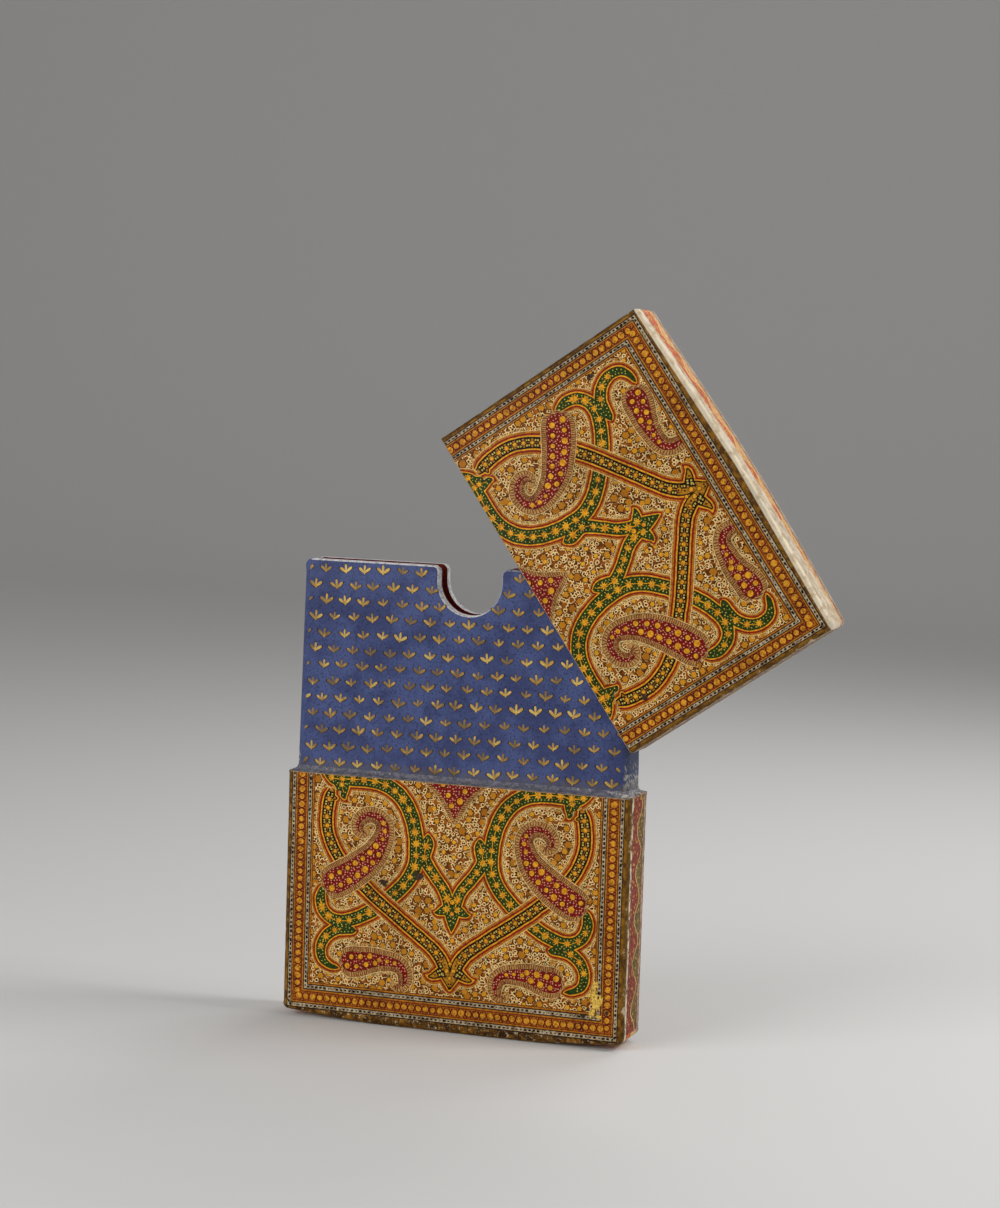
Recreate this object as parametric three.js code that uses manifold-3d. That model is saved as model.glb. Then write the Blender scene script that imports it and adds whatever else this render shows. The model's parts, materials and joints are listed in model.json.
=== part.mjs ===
// A lacquered, painted pasteboard case for visiting cards, millimetres, +Z up.
// The case stands upright on its slightly bowed bottom. A blue inner sleeve rises out of it, lined
// with red paper and notched for the thumb. The cap is off the shoulder: it hangs turned on the
// sleeve's upper right corner and pulls off along its own mouth.
// Origin: centre of the flat that the case stands on. -Y is the front, +X the right.

import * as THREE from 'three';
import { mergeVertices } from 'three/addons/utils/BufferGeometryUtils.js';
import Module from 'manifold-3d';

const wasm = await Module();
wasm.setup();

// The well that holds the cards
const WELL_WIDTH = 66.4;
const WELL_THICKNESS = 2.6;

// Walls, from the well outwards: lining, sleeve, case, with a paste line between each two
const LINING = 0.25;
const PASTE = 0.1;
const SLEEVE_BOARD = 3.0;
const SLEEVE_STRIP = 2.15;
const SLEEVE_FLOOR = 1.2;
const CASE_BOARD = 1.5;
const CASE_STRIP = 1.2;
const CASE_CROWN = 2.8;

// Heights
const CASE_HEIGHT = 51.3;
const SLEEVE_RISE = 43.9;
const CAP_HEADROOM = 3.0;
const CAP_CROWN = 2.5;

// How the cap fits over the sleeve when it is shut
const CAP_FACE_CLEARANCE = 0.35;
const CAP_SIDE_CLEARANCE = 0.2;

// Outside rounding and the bow of the two ends
const EDGE_ROUND = 1.2;
const END_CORNER_ROUND = 1.0;
const END_EDGE_ROUND = 0.8;
const CASE_BOW = 1.35;
const CASE_FLAT_HALF = 17;
const CAP_BOW = 1.0;
const CAP_FLAT_HALF = 4;
const BOW_CURVE = 1.25;

// The sleeve above the shoulder grows thinner and narrower towards its lip
const FACE_TAPER = 1.05;
const SIDE_TAPER = 0.4;
const SLEEVE_EDGE_ROUND = 1.5;
const LIP_CORNER_ROUND = 1.4;

// Thumb notch, cut through both faces of the sleeve
const NOTCH_WIDTH = 13.5;
const NOTCH_DEPTH = 9.8;
const NOTCH_OFFSET = 0.8;
const NOTCH_MOUTH_ROUND = 1.3;

// Fillet of gesso round the sleeve's root
const FILLET_RISE = 1.5;
const FILLET_SET_BACK = 0.25;
const FILLET_LIP = 0.12;

// The cap's resting place: turned and leaning back a little, its right rim on the sleeve's right side
const CAP_TURN = THREE.MathUtils.degToRad(55.2);
const CAP_LEAN = THREE.MathUtils.degToRad(2);
const SEAT_RISE = 9.8;
const REST_GAP = 0.3;

// Curves are cut into this many steps, and cutting tools reach this far past what they cut
const ARC_STEPS = 4;
const NOTCH_STEPS = 10;
const BOW_STEPS = 5;
const PAST = 5;

const sleeveBoardInside = WELL_THICKNESS / 2 + LINING + PASTE;
const sleeveStripInside = WELL_WIDTH / 2 + LINING + PASTE;
const sleeveHalfThickness = sleeveBoardInside + SLEEVE_BOARD;
const sleeveHalfWidth = sleeveStripInside + SLEEVE_STRIP;
const halfThickness = sleeveHalfThickness + PASTE + CASE_BOARD;
const halfWidth = sleeveHalfWidth + PASTE + CASE_STRIP;
const capInsideY = sleeveHalfThickness + CAP_FACE_CLEARANCE;
const capInsideX = sleeveHalfWidth + CAP_SIDE_CLEARANCE;
const capHeight = SLEEVE_RISE + CAP_HEADROOM + CAP_CROWN;
const sleeveBottom = CASE_CROWN + PASTE;
const wellFloor = sleeveBottom + SLEEVE_FLOOR + PASTE + LINING;
const lip = CASE_HEIGHT + SLEEVE_RISE;

const painted = { color: 0xb8892f, roughness: 0.38, metalness: 0.15 };
const paintedEdge = { color: 0xa2542b, roughness: 0.42, metalness: 0.1 };
const blue = { color: 0x36458f, roughness: 0.5, metalness: 0.0 };
const gesso = { color: 0x8f8a84, roughness: 0.8, metalness: 0.0 };
const redPaper = { color: 0x5a1512, roughness: 0.75, metalness: 0.0 };

const AXES = {
  // A flat outline's x, y and depth become these directions
  upright: [[1, 0, 0], [0, 1, 0], [0, 0, 1]],
  front: [[1, 0, 0], [0, 0, 1], [0, -1, 0]],
  side: [[0, 1, 0], [0, 0, 1], [1, 0, 0]],
};

/** A closed solid from a three.js geometry. */
function solid(geometry) {
  const plain = geometry.clone();
  plain.deleteAttribute('normal');
  plain.deleteAttribute('uv');
  const merged = mergeVertices(plain, 1e-5);
  return new wasm.Manifold(new wasm.Mesh({
    numProp: 3,
    vertProperties: new Float32Array(merged.attributes.position.array),
    triVerts: new Uint32Array(merged.index.array),
  }));
}

/** A three.js geometry from a closed solid. */
function geometryOf(manifold) {
  const mesh = manifold.getMesh();
  const geometry = new THREE.BufferGeometry();
  geometry.setAttribute('position', new THREE.BufferAttribute(mesh.vertProperties, mesh.numProp));
  geometry.setIndex(new THREE.BufferAttribute(mesh.triVerts, 1));
  return geometry;
}

/** A flat outline pushed out by depth, centred on its plane, standing in one of the AXES. */
function prism(shape, depth, axes) {
  const geometry = new THREE.ExtrudeGeometry(shape, { depth, bevelEnabled: false, curveSegments: 1 });
  geometry.translate(0, 0, -depth / 2);
  const basis = AXES[axes].map((direction) => new THREE.Vector3(...direction));
  geometry.applyMatrix4(new THREE.Matrix4().makeBasis(...basis));
  return solid(geometry);
}

/** A box between two corners. */
function block(low, high) {
  const size = high.map((value, i) => value - low[i]);
  const geometry = new THREE.BoxGeometry(...size);
  geometry.translate(...low.map((value, i) => value + size[i] / 2));
  return solid(geometry);
}

/** Points along a quarter circle about (x, y), from one quarter turn to the next. */
function quarter(x, y, radius, firstQuarter) {
  return Array.from({ length: ARC_STEPS + 1 }, (_, i) => {
    const angle = (firstQuarter + i / ARC_STEPS) * Math.PI / 2;
    return new THREE.Vector2(x + radius * Math.cos(angle), y + radius * Math.sin(angle));
  });
}

/** A rectangle round the origin with four rounded corners, as points. */
function roundedRectangle(halfX, halfY, radius) {
  const x = halfX - radius;
  const y = halfY - radius;
  return [
    ...quarter(x, y, radius, 0),
    ...quarter(-x, y, radius, 1),
    ...quarter(-x, -y, radius, 2),
    ...quarter(x, -y, radius, 3),
  ];
}

/** The outside of a half that ends below in a bowed crown at z = 0 and is open at z = height. */
function outerBlock(height, bow, flatHalf) {
  const plan = new THREE.Shape(roundedRectangle(halfWidth, halfThickness, EDGE_ROUND));
  const rise = (x) => {
    const along = Math.max(0, (Math.abs(x) - flatHalf) / (halfWidth - flatHalf));
    return bow * along ** BOW_CURVE;
  };
  const bowEnd = halfWidth - END_CORNER_ROUND;
  const below = [];
  for (let i = BOW_STEPS; i >= 0; i -= 1) {
    const x = flatHalf + (bowEnd - flatHalf) * i / BOW_STEPS;
    below.push(new THREE.Vector2(-x, rise(x)));
  }
  const right = below.map((point) => new THREE.Vector2(-point.x, point.y)).reverse();
  const cornerHeight = rise(bowEnd) + END_CORNER_ROUND;
  const face = new THREE.Shape([
    new THREE.Vector2(-halfWidth, height),
    ...quarter(-bowEnd, cornerHeight, END_CORNER_ROUND, 2).slice(0, -1),
    ...below,
    ...right,
    ...quarter(bowEnd, cornerHeight, END_CORNER_ROUND, 3).slice(1),
    new THREE.Vector2(halfWidth, height),
  ]);
  const edgeY = halfThickness - END_EDGE_ROUND;
  const section = new THREE.Shape([
    new THREE.Vector2(-halfThickness, height),
    ...quarter(-edgeY, END_EDGE_ROUND, END_EDGE_ROUND, 2),
    ...quarter(edgeY, END_EDGE_ROUND, END_EDGE_ROUND, 3),
    new THREE.Vector2(halfThickness, height),
  ]);
  return prism(plan, 4 * height, 'upright')
    .intersect(prism(face, 4 * halfThickness, 'front'))
    .intersect(prism(section, 4 * halfWidth, 'side'));
}

/** The five boards of a half: two faces, two edge strips between them and the bowed end strip. */
function boards(height, bow, flatHalf, insideX, insideY, crown) {
  const outer = outerBlock(height, bow, flatHalf);
  const farX = halfWidth + PAST;
  const farY = halfThickness + PAST;
  const farZ = height + PAST;
  const stripY = insideY - PASTE;
  const stripFoot = crown + PASTE;
  return {
    negativeFace: outer.intersect(block([-farX, -farY, -PAST], [farX, -insideY, farZ])),
    positiveFace: outer.intersect(block([-farX, insideY, -PAST], [farX, farY, farZ])),
    negativeStrip: outer.intersect(block([-farX, -stripY, stripFoot], [-insideX, stripY, farZ])),
    positiveStrip: outer.intersect(block([insideX, -stripY, stripFoot], [farX, stripY, farZ])),
    end: outer.intersect(block([-farX, -stripY, -PAST], [farX, stripY, crown])),
  };
}

/** The skin between level outlines, each a closed row of points with its height, ends closed. */
function loft(levels) {
  const count = levels[0].points.length;
  const positions = levels.flatMap(({ points, z }) => points.flatMap((point) => [point.x, point.y, z]));
  const triangles = [];
  for (let level = 0; level < levels.length - 1; level += 1) {
    for (let i = 0; i < count; i += 1) {
      const a = level * count + i;
      const b = level * count + (i + 1) % count;
      triangles.push(a, b, b + count, a, b + count, a + count);
    }
  }
  const top = (levels.length - 1) * count;
  for (const [a, b, c] of THREE.ShapeUtils.triangulateShape(levels[0].points, [])) {
    triangles.push(a, c, b);
    triangles.push(top + a, top + b, top + c);
  }
  const geometry = new THREE.BufferGeometry();
  geometry.setAttribute('position', new THREE.Float32BufferAttribute(positions, 3));
  geometry.setIndex(triangles);
  return solid(geometry);
}

/** How much narrower the sleeve is at a height than at the shoulder, as a share of its taper. */
function taperShare(z) {
  return Math.min(1, Math.max(0, (z - CASE_HEIGHT) / SLEEVE_RISE));
}

/** Half the sleeve's width at a height. */
function sleeveHalfWidthAt(z) {
  return sleeveHalfWidth - SIDE_TAPER * taperShare(z);
}

/** Half the sleeve's thickness at a height. */
function sleeveHalfThicknessAt(z) {
  return sleeveHalfThickness - FACE_TAPER * taperShare(z);
}

/** The sleeve's outline at a height, grown outwards by spread. */
function sleeveOutline(z, spread = 0) {
  return roundedRectangle(
    sleeveHalfWidthAt(z) + spread,
    sleeveHalfThicknessAt(z) + spread,
    SLEEVE_EDGE_ROUND + spread,
  );
}

/** The outside of the sleeve as one block, its lip rounded at both corners. */
function sleeveBlock() {
  const skin = loft([sleeveBottom, CASE_HEIGHT, lip].map((z) => ({ z, points: sleeveOutline(z) })));
  const half = sleeveHalfWidthAt(lip);
  const corner = LIP_CORNER_ROUND;
  const face = new THREE.Shape([
    new THREE.Vector2(-sleeveHalfWidth - PAST, sleeveBottom - PAST),
    new THREE.Vector2(sleeveHalfWidth + PAST, sleeveBottom - PAST),
    new THREE.Vector2(sleeveHalfWidth + PAST, lip - corner),
    ...quarter(half - corner, lip - corner, corner, 0),
    ...quarter(-half + corner, lip - corner, corner, 1),
    new THREE.Vector2(-sleeveHalfWidth - PAST, lip - corner),
  ]);
  return skin.intersect(prism(face, 4 * halfThickness, 'front'));
}

/** The thumb notch as a cutter: a round-bottomed slot whose mouth flares at the lip. */
function notchCutter() {
  const radius = NOTCH_WIDTH / 2;
  const flare = NOTCH_MOUTH_ROUND;
  const centre = lip - NOTCH_DEPTH + radius;
  const bottom = Array.from({ length: NOTCH_STEPS + 1 }, (_, i) => {
    const angle = Math.PI * (1 + i / NOTCH_STEPS);
    return new THREE.Vector2(radius * Math.cos(angle), centre + radius * Math.sin(angle));
  });
  const flareRight = quarter(radius + flare, lip - flare, flare, 1).reverse();
  const flareLeft = quarter(-radius - flare, lip - flare, flare, 0).reverse();
  const outline = new THREE.Shape([
    ...flareLeft,
    ...bottom,
    ...flareRight,
    new THREE.Vector2(radius + flare, lip + PAST),
    new THREE.Vector2(-radius - flare, lip + PAST),
  ]);
  return prism(outline, 4 * halfThickness, 'front').translate(NOTCH_OFFSET, 0, 0);
}

/** The sleeve's five boards: two notched faces, two edge strips and a floor strip. */
function sleevePieces() {
  const outer = sleeveBlock();
  const notched = outer.subtract(notchCutter());
  const farX = halfWidth + PAST;
  const farY = halfThickness + PAST;
  const farZ = lip + PAST;
  const y = sleeveBoardInside;
  const stripY = y - PASTE;
  const floorX = sleeveStripInside - PASTE;
  const floorTop = sleeveBottom + SLEEVE_FLOOR;
  return {
    front: notched.intersect(block([-farX, -farY, -PAST], [farX, -y, farZ])),
    back: notched.intersect(block([-farX, y, -PAST], [farX, farY, farZ])),
    left: outer.intersect(block([-farX, -stripY, sleeveBottom], [-sleeveStripInside, stripY, farZ])),
    right: outer.intersect(block([sleeveStripInside, -stripY, sleeveBottom], [farX, stripY, farZ])),
    floor: block([-floorX, -stripY, sleeveBottom], [floorX, stripY, floorTop]),
  };
}

/** The paper that lines the well: two notched sheets, two edge slips and a floor slip. */
function liningPieces() {
  const x = WELL_WIDTH / 2;
  const y = WELL_THICKNESS / 2;
  const foot = wellFloor - LINING;
  const slipY = y - PASTE;
  const slipFoot = wellFloor + PASTE;
  const rim = lip - LIP_CORNER_ROUND;
  const notch = notchCutter();
  const floorX = x + LINING;
  return {
    front: block([-floorX, -y - LINING, foot], [floorX, -y, lip]).subtract(notch),
    back: block([-floorX, y, foot], [floorX, y + LINING, lip]).subtract(notch),
    left: block([-x - LINING, -slipY, slipFoot], [-x, slipY, rim]),
    right: block([x, -slipY, slipFoot], [x + LINING, slipY, rim]),
    floor: block([-floorX, -slipY, foot], [floorX, slipY, wellFloor]),
  };
}

/** The gesso fillet that fills the corner between the case's rim and the sleeve. */
function shoulderFillet() {
  const foot = CASE_HEIGHT + PASTE;
  const nearX = sleeveHalfWidth + PASTE + FILLET_LIP;
  const nearY = sleeveHalfThickness + PASTE + FILLET_LIP;
  const farX = halfWidth - FILLET_SET_BACK;
  const farY = halfThickness - FILLET_SET_BACK;
  const edge = { z: foot, points: roundedRectangle(farX, farY, EDGE_ROUND) };
  const hollow = Array.from({ length: ARC_STEPS + 1 }, (_, i) => {
    const angle = i / ARC_STEPS * Math.PI / 2;
    const out = 1 - Math.sin(angle);
    const z = foot + FILLET_LIP + (FILLET_RISE - FILLET_LIP) * (1 - Math.cos(angle));
    const x = nearX + (farX - nearX) * out;
    const y = nearY + (farY - nearY) * out;
    return { z, points: roundedRectangle(x, y, EDGE_ROUND) };
  });
  const bore = loft([foot - PAST, foot + PAST].map((z) => ({ z, points: sleeveOutline(foot, PASTE) })));
  return loft([edge, ...hollow]).subtract(bore);
}

/** A named mesh of one piece. */
function piece(name, shape, finish) {
  const mesh = new THREE.Mesh(geometryOf(shape), new THREE.MeshStandardMaterial(finish));
  mesh.name = name;
  return mesh;
}

/** The lower half: five painted boards and the gesso fillet. */
function caseGroup() {
  const made = boards(
    CASE_HEIGHT,
    CASE_BOW,
    CASE_FLAT_HALF,
    halfWidth - CASE_STRIP,
    halfThickness - CASE_BOARD,
    CASE_CROWN,
  );
  const group = new THREE.Group();
  group.add(
    piece('case_front_board', made.negativeFace, painted),
    piece('case_back_board', made.positiveFace, painted),
    piece('case_left_strip', made.negativeStrip, paintedEdge),
    piece('case_right_strip', made.positiveStrip, paintedEdge),
    piece('case_bottom_strip', made.end, paintedEdge),
    piece('shoulder_fillet', shoulderFillet(), gesso),
  );
  return group;
}

/** The blue sleeve with its red lining. */
function sleeveGroup() {
  const sleeve = sleevePieces();
  const lining = liningPieces();
  const group = new THREE.Group();
  group.add(
    piece('sleeve_front_board', sleeve.front, blue),
    piece('sleeve_back_board', sleeve.back, blue),
    piece('sleeve_left_strip', sleeve.left, blue),
    piece('sleeve_right_strip', sleeve.right, blue),
    piece('sleeve_floor_strip', sleeve.floor, gesso),
    piece('lining_front_sheet', lining.front, redPaper),
    piece('lining_back_sheet', lining.back, redPaper),
    piece('lining_left_slip', lining.left, redPaper),
    piece('lining_right_slip', lining.right, redPaper),
    piece('lining_floor_slip', lining.floor, redPaper),
  );
  return group;
}

/** The cap, built crown down like the case, then turned over and set on the sleeve's corner. */
function capGroup() {
  const made = boards(capHeight, CAP_BOW, CAP_FLAT_HALF, capInsideX, capInsideY, CAP_CROWN);
  const group = new THREE.Group();
  group.add(
    piece('cap_front_board', made.negativeFace, painted),
    piece('cap_back_board', made.positiveFace, painted),
    piece('cap_left_strip', made.positiveStrip, paintedEdge),
    piece('cap_right_strip', made.negativeStrip, paintedEdge),
    piece('cap_end_strip', made.end, paintedEdge),
  );
  const seatZ = CASE_HEIGHT + SEAT_RISE;
  const seat = new THREE.Vector3(
    sleeveHalfWidthAt(seatZ) + REST_GAP,
    sleeveHalfThicknessAt(seatZ) + REST_GAP - capInsideY,
    seatZ,
  );
  group.rotation.set(CAP_LEAN, Math.PI + CAP_TURN, 0, 'YXZ');
  const mouthRim = new THREE.Vector3(-capInsideX, 0, capHeight).applyEuler(group.rotation);
  group.position.copy(seat).sub(mouthRim);
  return group;
}

const cardCase = new THREE.Group();
cardCase.add(caseGroup(), sleeveGroup(), capGroup());

export default cardCase;
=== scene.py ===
"""The looks of a lacquered pasteboard case for visiting cards, its cap taken off and hung on the sleeve.

Each half is drawn in its own frame, in millimetres: u to the right, v to the back and w from the
mouth to the closed end. The painted design is made of thin paint layers that lie on the boards.
"""

from __future__ import annotations

import json
import logging
import math
from collections.abc import Callable, Sequence
from dataclasses import dataclass, field, fields, replace
from enum import Enum

import bmesh
import bpy
import numpy as np
from bpy.types import Material, Mesh, Node, NodeSocket, NodeTree, Object
from mathutils import Matrix, Vector, geometry, noise

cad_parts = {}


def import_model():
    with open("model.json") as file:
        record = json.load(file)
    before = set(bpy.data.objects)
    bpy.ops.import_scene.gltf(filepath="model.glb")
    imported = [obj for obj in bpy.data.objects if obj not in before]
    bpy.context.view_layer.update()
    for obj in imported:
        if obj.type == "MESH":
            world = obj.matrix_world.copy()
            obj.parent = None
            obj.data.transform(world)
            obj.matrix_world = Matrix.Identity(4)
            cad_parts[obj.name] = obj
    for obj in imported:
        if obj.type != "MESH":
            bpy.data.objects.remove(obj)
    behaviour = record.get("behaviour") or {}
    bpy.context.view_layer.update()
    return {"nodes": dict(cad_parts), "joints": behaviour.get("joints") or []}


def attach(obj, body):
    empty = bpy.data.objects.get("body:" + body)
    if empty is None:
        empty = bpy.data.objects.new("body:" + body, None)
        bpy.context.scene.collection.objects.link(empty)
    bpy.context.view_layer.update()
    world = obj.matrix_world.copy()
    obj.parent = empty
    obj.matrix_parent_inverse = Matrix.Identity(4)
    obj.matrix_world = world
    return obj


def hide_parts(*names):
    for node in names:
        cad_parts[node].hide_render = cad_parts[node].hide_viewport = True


LOG = logging.getLogger("card_case")

Spot = tuple[float, float]
Triple = tuple[float, float, float]
Tones = tuple[str, str]
Move = Callable[[np.ndarray], np.ndarray]

MM = 0.001
PAINT_LAYER = 0.006
PAINT_LIFT = 0.01
PAINT_SKIN = 0.19
STROKE_STEP = 0.35
OUTLINE_STEP = 0.8
STRIP_CLEAR = 0.005
DENT = 0.28
SHARP_DEGREES = 40.0
NOISE_SEED = 7
ARC_STEPS = 7
PLACE = "place"
ROUNDING = "rounding"
FACES = (("front", -1.0), ("back", 1.0))
EDGES = (("left", -1.0), ("right", 1.0))


def linear(hex_colour: str) -> tuple[float, float, float, float]:
    """A hex colour as the linear values that a shader takes.

    Args:
        hex_colour: Six hex digits.

    Returns:
        Red, green, blue and an alpha of one.
    """
    parts = [int(hex_colour[i : i + 2], 16) / 255 for i in (0, 2, 4)]
    red, green, blue = (c / 12.92 if c <= 0.04045 else ((c + 0.055) / 1.055) ** 2.4 for c in parts)
    return red, green, blue, 1.0


def socket_of(sockets: bpy.types.bpy_prop_collection, key: str | int) -> NodeSocket:
    """A socket by its identifier, its name or its number."""
    marked = [socket for socket in sockets if socket.identifier == key]
    return marked[0] if marked else sockets[key]


class Value:
    """One socket of a node tree, on which Python's operators add Math nodes."""

    def __init__(self, graph: Graph, socket: NodeSocket) -> None:
        """Wraps an output socket."""
        self.graph = graph
        self.socket = socket

    def maths(self, operation: str, *others: Value | float) -> Value:
        """The result of a Math node on this value and others."""
        inputs = dict(enumerate((self, *others)))
        return self.graph.node("ShaderNodeMath", {"operation": operation}, inputs)[0]

    def __add__(self, other: Value | float) -> Value:
        """This value plus another."""
        return self.maths("ADD", other)

    def __radd__(self, other: float) -> Value:
        """A number plus this value."""
        return self.maths("ADD", other)

    def __sub__(self, other: Value | float) -> Value:
        """This value less another."""
        return self.maths("SUBTRACT", other)

    def __rsub__(self, other: float) -> Value:
        """A number less this value."""
        return (self * -1.0) + other

    def __mul__(self, other: Value | float) -> Value:
        """This value times another."""
        return self.maths("MULTIPLY", other)

    def __truediv__(self, other: Value | float) -> Value:
        """This value divided by another."""
        return self.maths("DIVIDE", other)

    def size(self) -> Value:
        """This value without its sign."""
        return self.maths("ABSOLUTE")

    def rises(self, low: float, high: float) -> Value:
        """Zero below low and one above high, smooth between them, or the other way round."""
        settings = {"interpolation_type": "SMOOTHSTEP"}
        inputs = {"Value": self, "From Min": low, "From Max": high}
        return self.graph.node("ShaderNodeMapRange", settings, inputs)["Result"]

    def within(self, low: float, high: float, soft: float) -> Value:
        """One between low and high and zero outside, with soft ends."""
        return self.rises(low - soft, low + soft) * self.rises(high + soft, high - soft)


class Outputs:
    """A node's outputs, by name or by number."""

    def __init__(self, graph: Graph, node: Node) -> None:
        """Keeps the node and the graph that it stands in."""
        self.graph = graph
        self.node = node

    def __getitem__(self, key: str | int) -> Value:
        """The output of that name or number."""
        return Value(self.graph, socket_of(self.node.outputs, key))


class Graph:
    """A node tree that is written as calls."""

    def __init__(self, tree: NodeTree) -> None:
        """Takes the tree to write in."""
        self.tree = tree

    def node(
        self,
        kind: str,
        settings: dict[str, object] | None = None,
        inputs: dict[str | int, object] | None = None,
    ) -> Outputs:
        """Adds one node.

        Args:
            kind: The node's type.
            settings: The node's own settings, which are set first.
            inputs: A value or a link for each input, by identifier, name or number.

        Returns:
            The node's outputs.
        """
        node = self.tree.nodes.new(kind)
        for name, value in (settings or {}).items():
            setattr(node, name, value)
        for key, value in (inputs or {}).items():
            if isinstance(value, Value):
                self.tree.links.new(value.socket, socket_of(node.inputs, key))
            else:
                socket_of(node.inputs, key).default_value = value
        return Outputs(self, node)

    def vector(self, operation: str, one: Value, other: Value | Triple) -> Value:
        """The result of a Vector Math node on two vectors."""
        return self.node("ShaderNodeVectorMath", {"operation": operation}, {0: one, 1: other})["Vector"]

    def scaled(self, vector: Value, by: Value | float) -> Value:
        """A vector times a number."""
        return self.node("ShaderNodeVectorMath", {"operation": "SCALE"}, {0: vector, "Scale": by})["Vector"]

    def split(self, vector: Value) -> Outputs:
        """The three numbers of a vector."""
        return self.node("ShaderNodeSeparateXYZ", None, {"Vector": vector})


class Paint:
    """A material under construction, with the patterns that the finishes share."""

    def __init__(self, name: str, on_cad: bool = False) -> None:
        """Starts a material.

        Args:
            name: The material's name.
            on_cad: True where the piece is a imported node, which has no place attribute.
        """
        self.material = bpy.data.materials.new(name)
        self.material.use_nodes = True
        self.graph = Graph(self.material.node_tree)
        self.shader = self.material.node_tree.nodes["Principled BSDF"]
        if on_cad:
            self.place = self.graph.scaled(self.graph.node("ShaderNodeTexCoord")["Object"], 1 / MM)
        else:
            self.place = self.graph.node("ShaderNodeAttribute", {"attribute_name": PLACE})["Vector"]
        split = self.graph.split(self.place)
        self.u, self.v, self.w = (split[i] for i in range(3))

    def rounding(self) -> Value:
        """How far round the board's edge a point is, from zero on the face to one on the side."""
        return self.graph.node("ShaderNodeAttribute", {"attribute_name": ROUNDING})["Fac"]

    def vector(self, x: Value | float, y: Value | float, z: Value | float = 0.0) -> Value:
        """A vector from three numbers."""
        return self.graph.node("ShaderNodeCombineXYZ", None, {"X": x, "Y": y, "Z": z})["Vector"]

    def noise(
        self,
        per_mm: float,
        detail: float = 3.0,
        rough: float = 0.55,
        at: Value | None = None,
    ) -> Value:
        """Noise from zero to one with so many lumps to a millimetre."""
        inputs = {"Vector": at or self.place, "Scale": per_mm, "Detail": detail, "Roughness": rough}
        return self.graph.node("ShaderNodeTexNoise", None, inputs)["Fac"]

    def wandered(self, at: Value, per_mm: float, far: float) -> Value:
        """A vector pushed about by noise, as a hand wanders.

        Args:
            at: The vector.
            per_mm: Lumps of the noise to a millimetre.
            far: How far it is pushed at most, in millimetres.

        Returns:
            The pushed vector.
        """
        inputs = {"Vector": at, "Scale": per_mm, "Detail": 1.0}
        colour = self.graph.node("ShaderNodeTexNoise", None, inputs)["Color"]
        centred = self.graph.vector("SUBTRACT", colour, (0.5, 0.5, 0.5))
        return self.graph.vector("ADD", at, self.graph.scaled(centred, 2 * far))

    def cells(self, at: Value, per_mm: float, random: float, feature: str = "F1") -> Outputs:
        """Flat cells round scattered points."""
        settings = {"voronoi_dimensions": "2D", "feature": feature}
        inputs = {"Vector": at, "Scale": per_mm, "Randomness": random}
        return self.graph.node("ShaderNodeTexVoronoi", settings, inputs)

    def lot(self, cells: Outputs, channel: str) -> Value:
        """A random number for each cell, from a channel of its colour."""
        return self.graph.node("ShaderNodeSeparateColor", None, {"Color": cells["Color"]})[channel]

    def mix(self, under: Value | str, over: Value | str, amount: Value | float) -> Value:
        """One colour laid over another."""
        colours = [linear(c) if isinstance(c, str) else c for c in (under, over)]
        inputs = {0: amount, 6: colours[0], 7: colours[1]}
        return self.graph.node("ShaderNodeMix", {"data_type": "RGBA"}, inputs)[2]

    def shade(self, colour: Value, amount: Value | float) -> Value:
        """A colour darkened by an amount from zero to one."""
        return self.mix(colour, "000000", amount)

    def bump(self, height: Value, depth: float) -> None:
        """Raises the surface by a height from zero to one, times a depth in millimetres."""
        inputs = {"Height": height, "Distance": depth * MM, "Strength": 1.0}
        normal = self.graph.node("ShaderNodeBump", None, inputs)["Normal"]
        self.graph.tree.links.new(normal.socket, self.shader.inputs["Normal"])

    def finish(
        self,
        colour: Value,
        rough: Value | float,
        metal: float = 0.0,
        varnish: float = 0.0,
    ) -> Material:
        """Joins the colours and numbers to the shader.

        Args:
            colour: The base colour.
            rough: The roughness.
            metal: How metallic the paint is.
            varnish: Weight of the clear coat.

        Returns:
            The finished material.
        """
        self.graph.tree.links.new(colour.socket, self.shader.inputs["Base Color"])
        if isinstance(rough, Value):
            self.graph.tree.links.new(rough.socket, self.shader.inputs["Roughness"])
        else:
            self.shader.inputs["Roughness"].default_value = rough
        self.shader.inputs["Metallic"].default_value = metal
        self.shader.inputs["Coat Weight"].default_value = varnish
        self.shader.inputs["Coat Roughness"].default_value = 0.12
        self.shader.inputs["Specular IOR Level"].default_value = 0.08
        return self.material


@dataclass(frozen=True)
class Pigment:
    """A flat paint of the design, with the unevenness of brush and age."""

    name: str
    colour: str
    aged: str
    metal: float = 0.0
    rough: float = 0.42
    wear: float = 0.3
    dots: str | None = None

    def material(self) -> Material:
        """The paint as a material."""
        paint = Paint(self.name)
        brushed = paint.noise(1.9, 4.0, 0.7)
        colour = paint.mix(self.colour, self.aged, brushed.rises(0.38, 0.66))
        if self.dots:
            flat = paint.wandered(paint.vector(paint.u, paint.w), 0.8, 0.12)
            spots = paint.cells(flat, 1.6, 0.6)["Distance"]
            colour = paint.mix(colour, self.dots, spots.rises(0.27, 0.17))
        rubbed = paint.noise(0.55, 5.0, 0.7).rises(0.60, 0.74) * self.wear
        colour = paint.mix(colour, "6B4620", rubbed)
        grime = paint.noise(0.12, 3.0, 0.5).rises(0.48, 0.75) * 0.22
        colour = paint.shade(colour, grime)
        paint.bump(paint.noise(3.5, 3.0, 0.6), 0.03)
        return paint.finish(colour, self.rough + brushed * 0.16, self.metal, 0.05)


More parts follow.
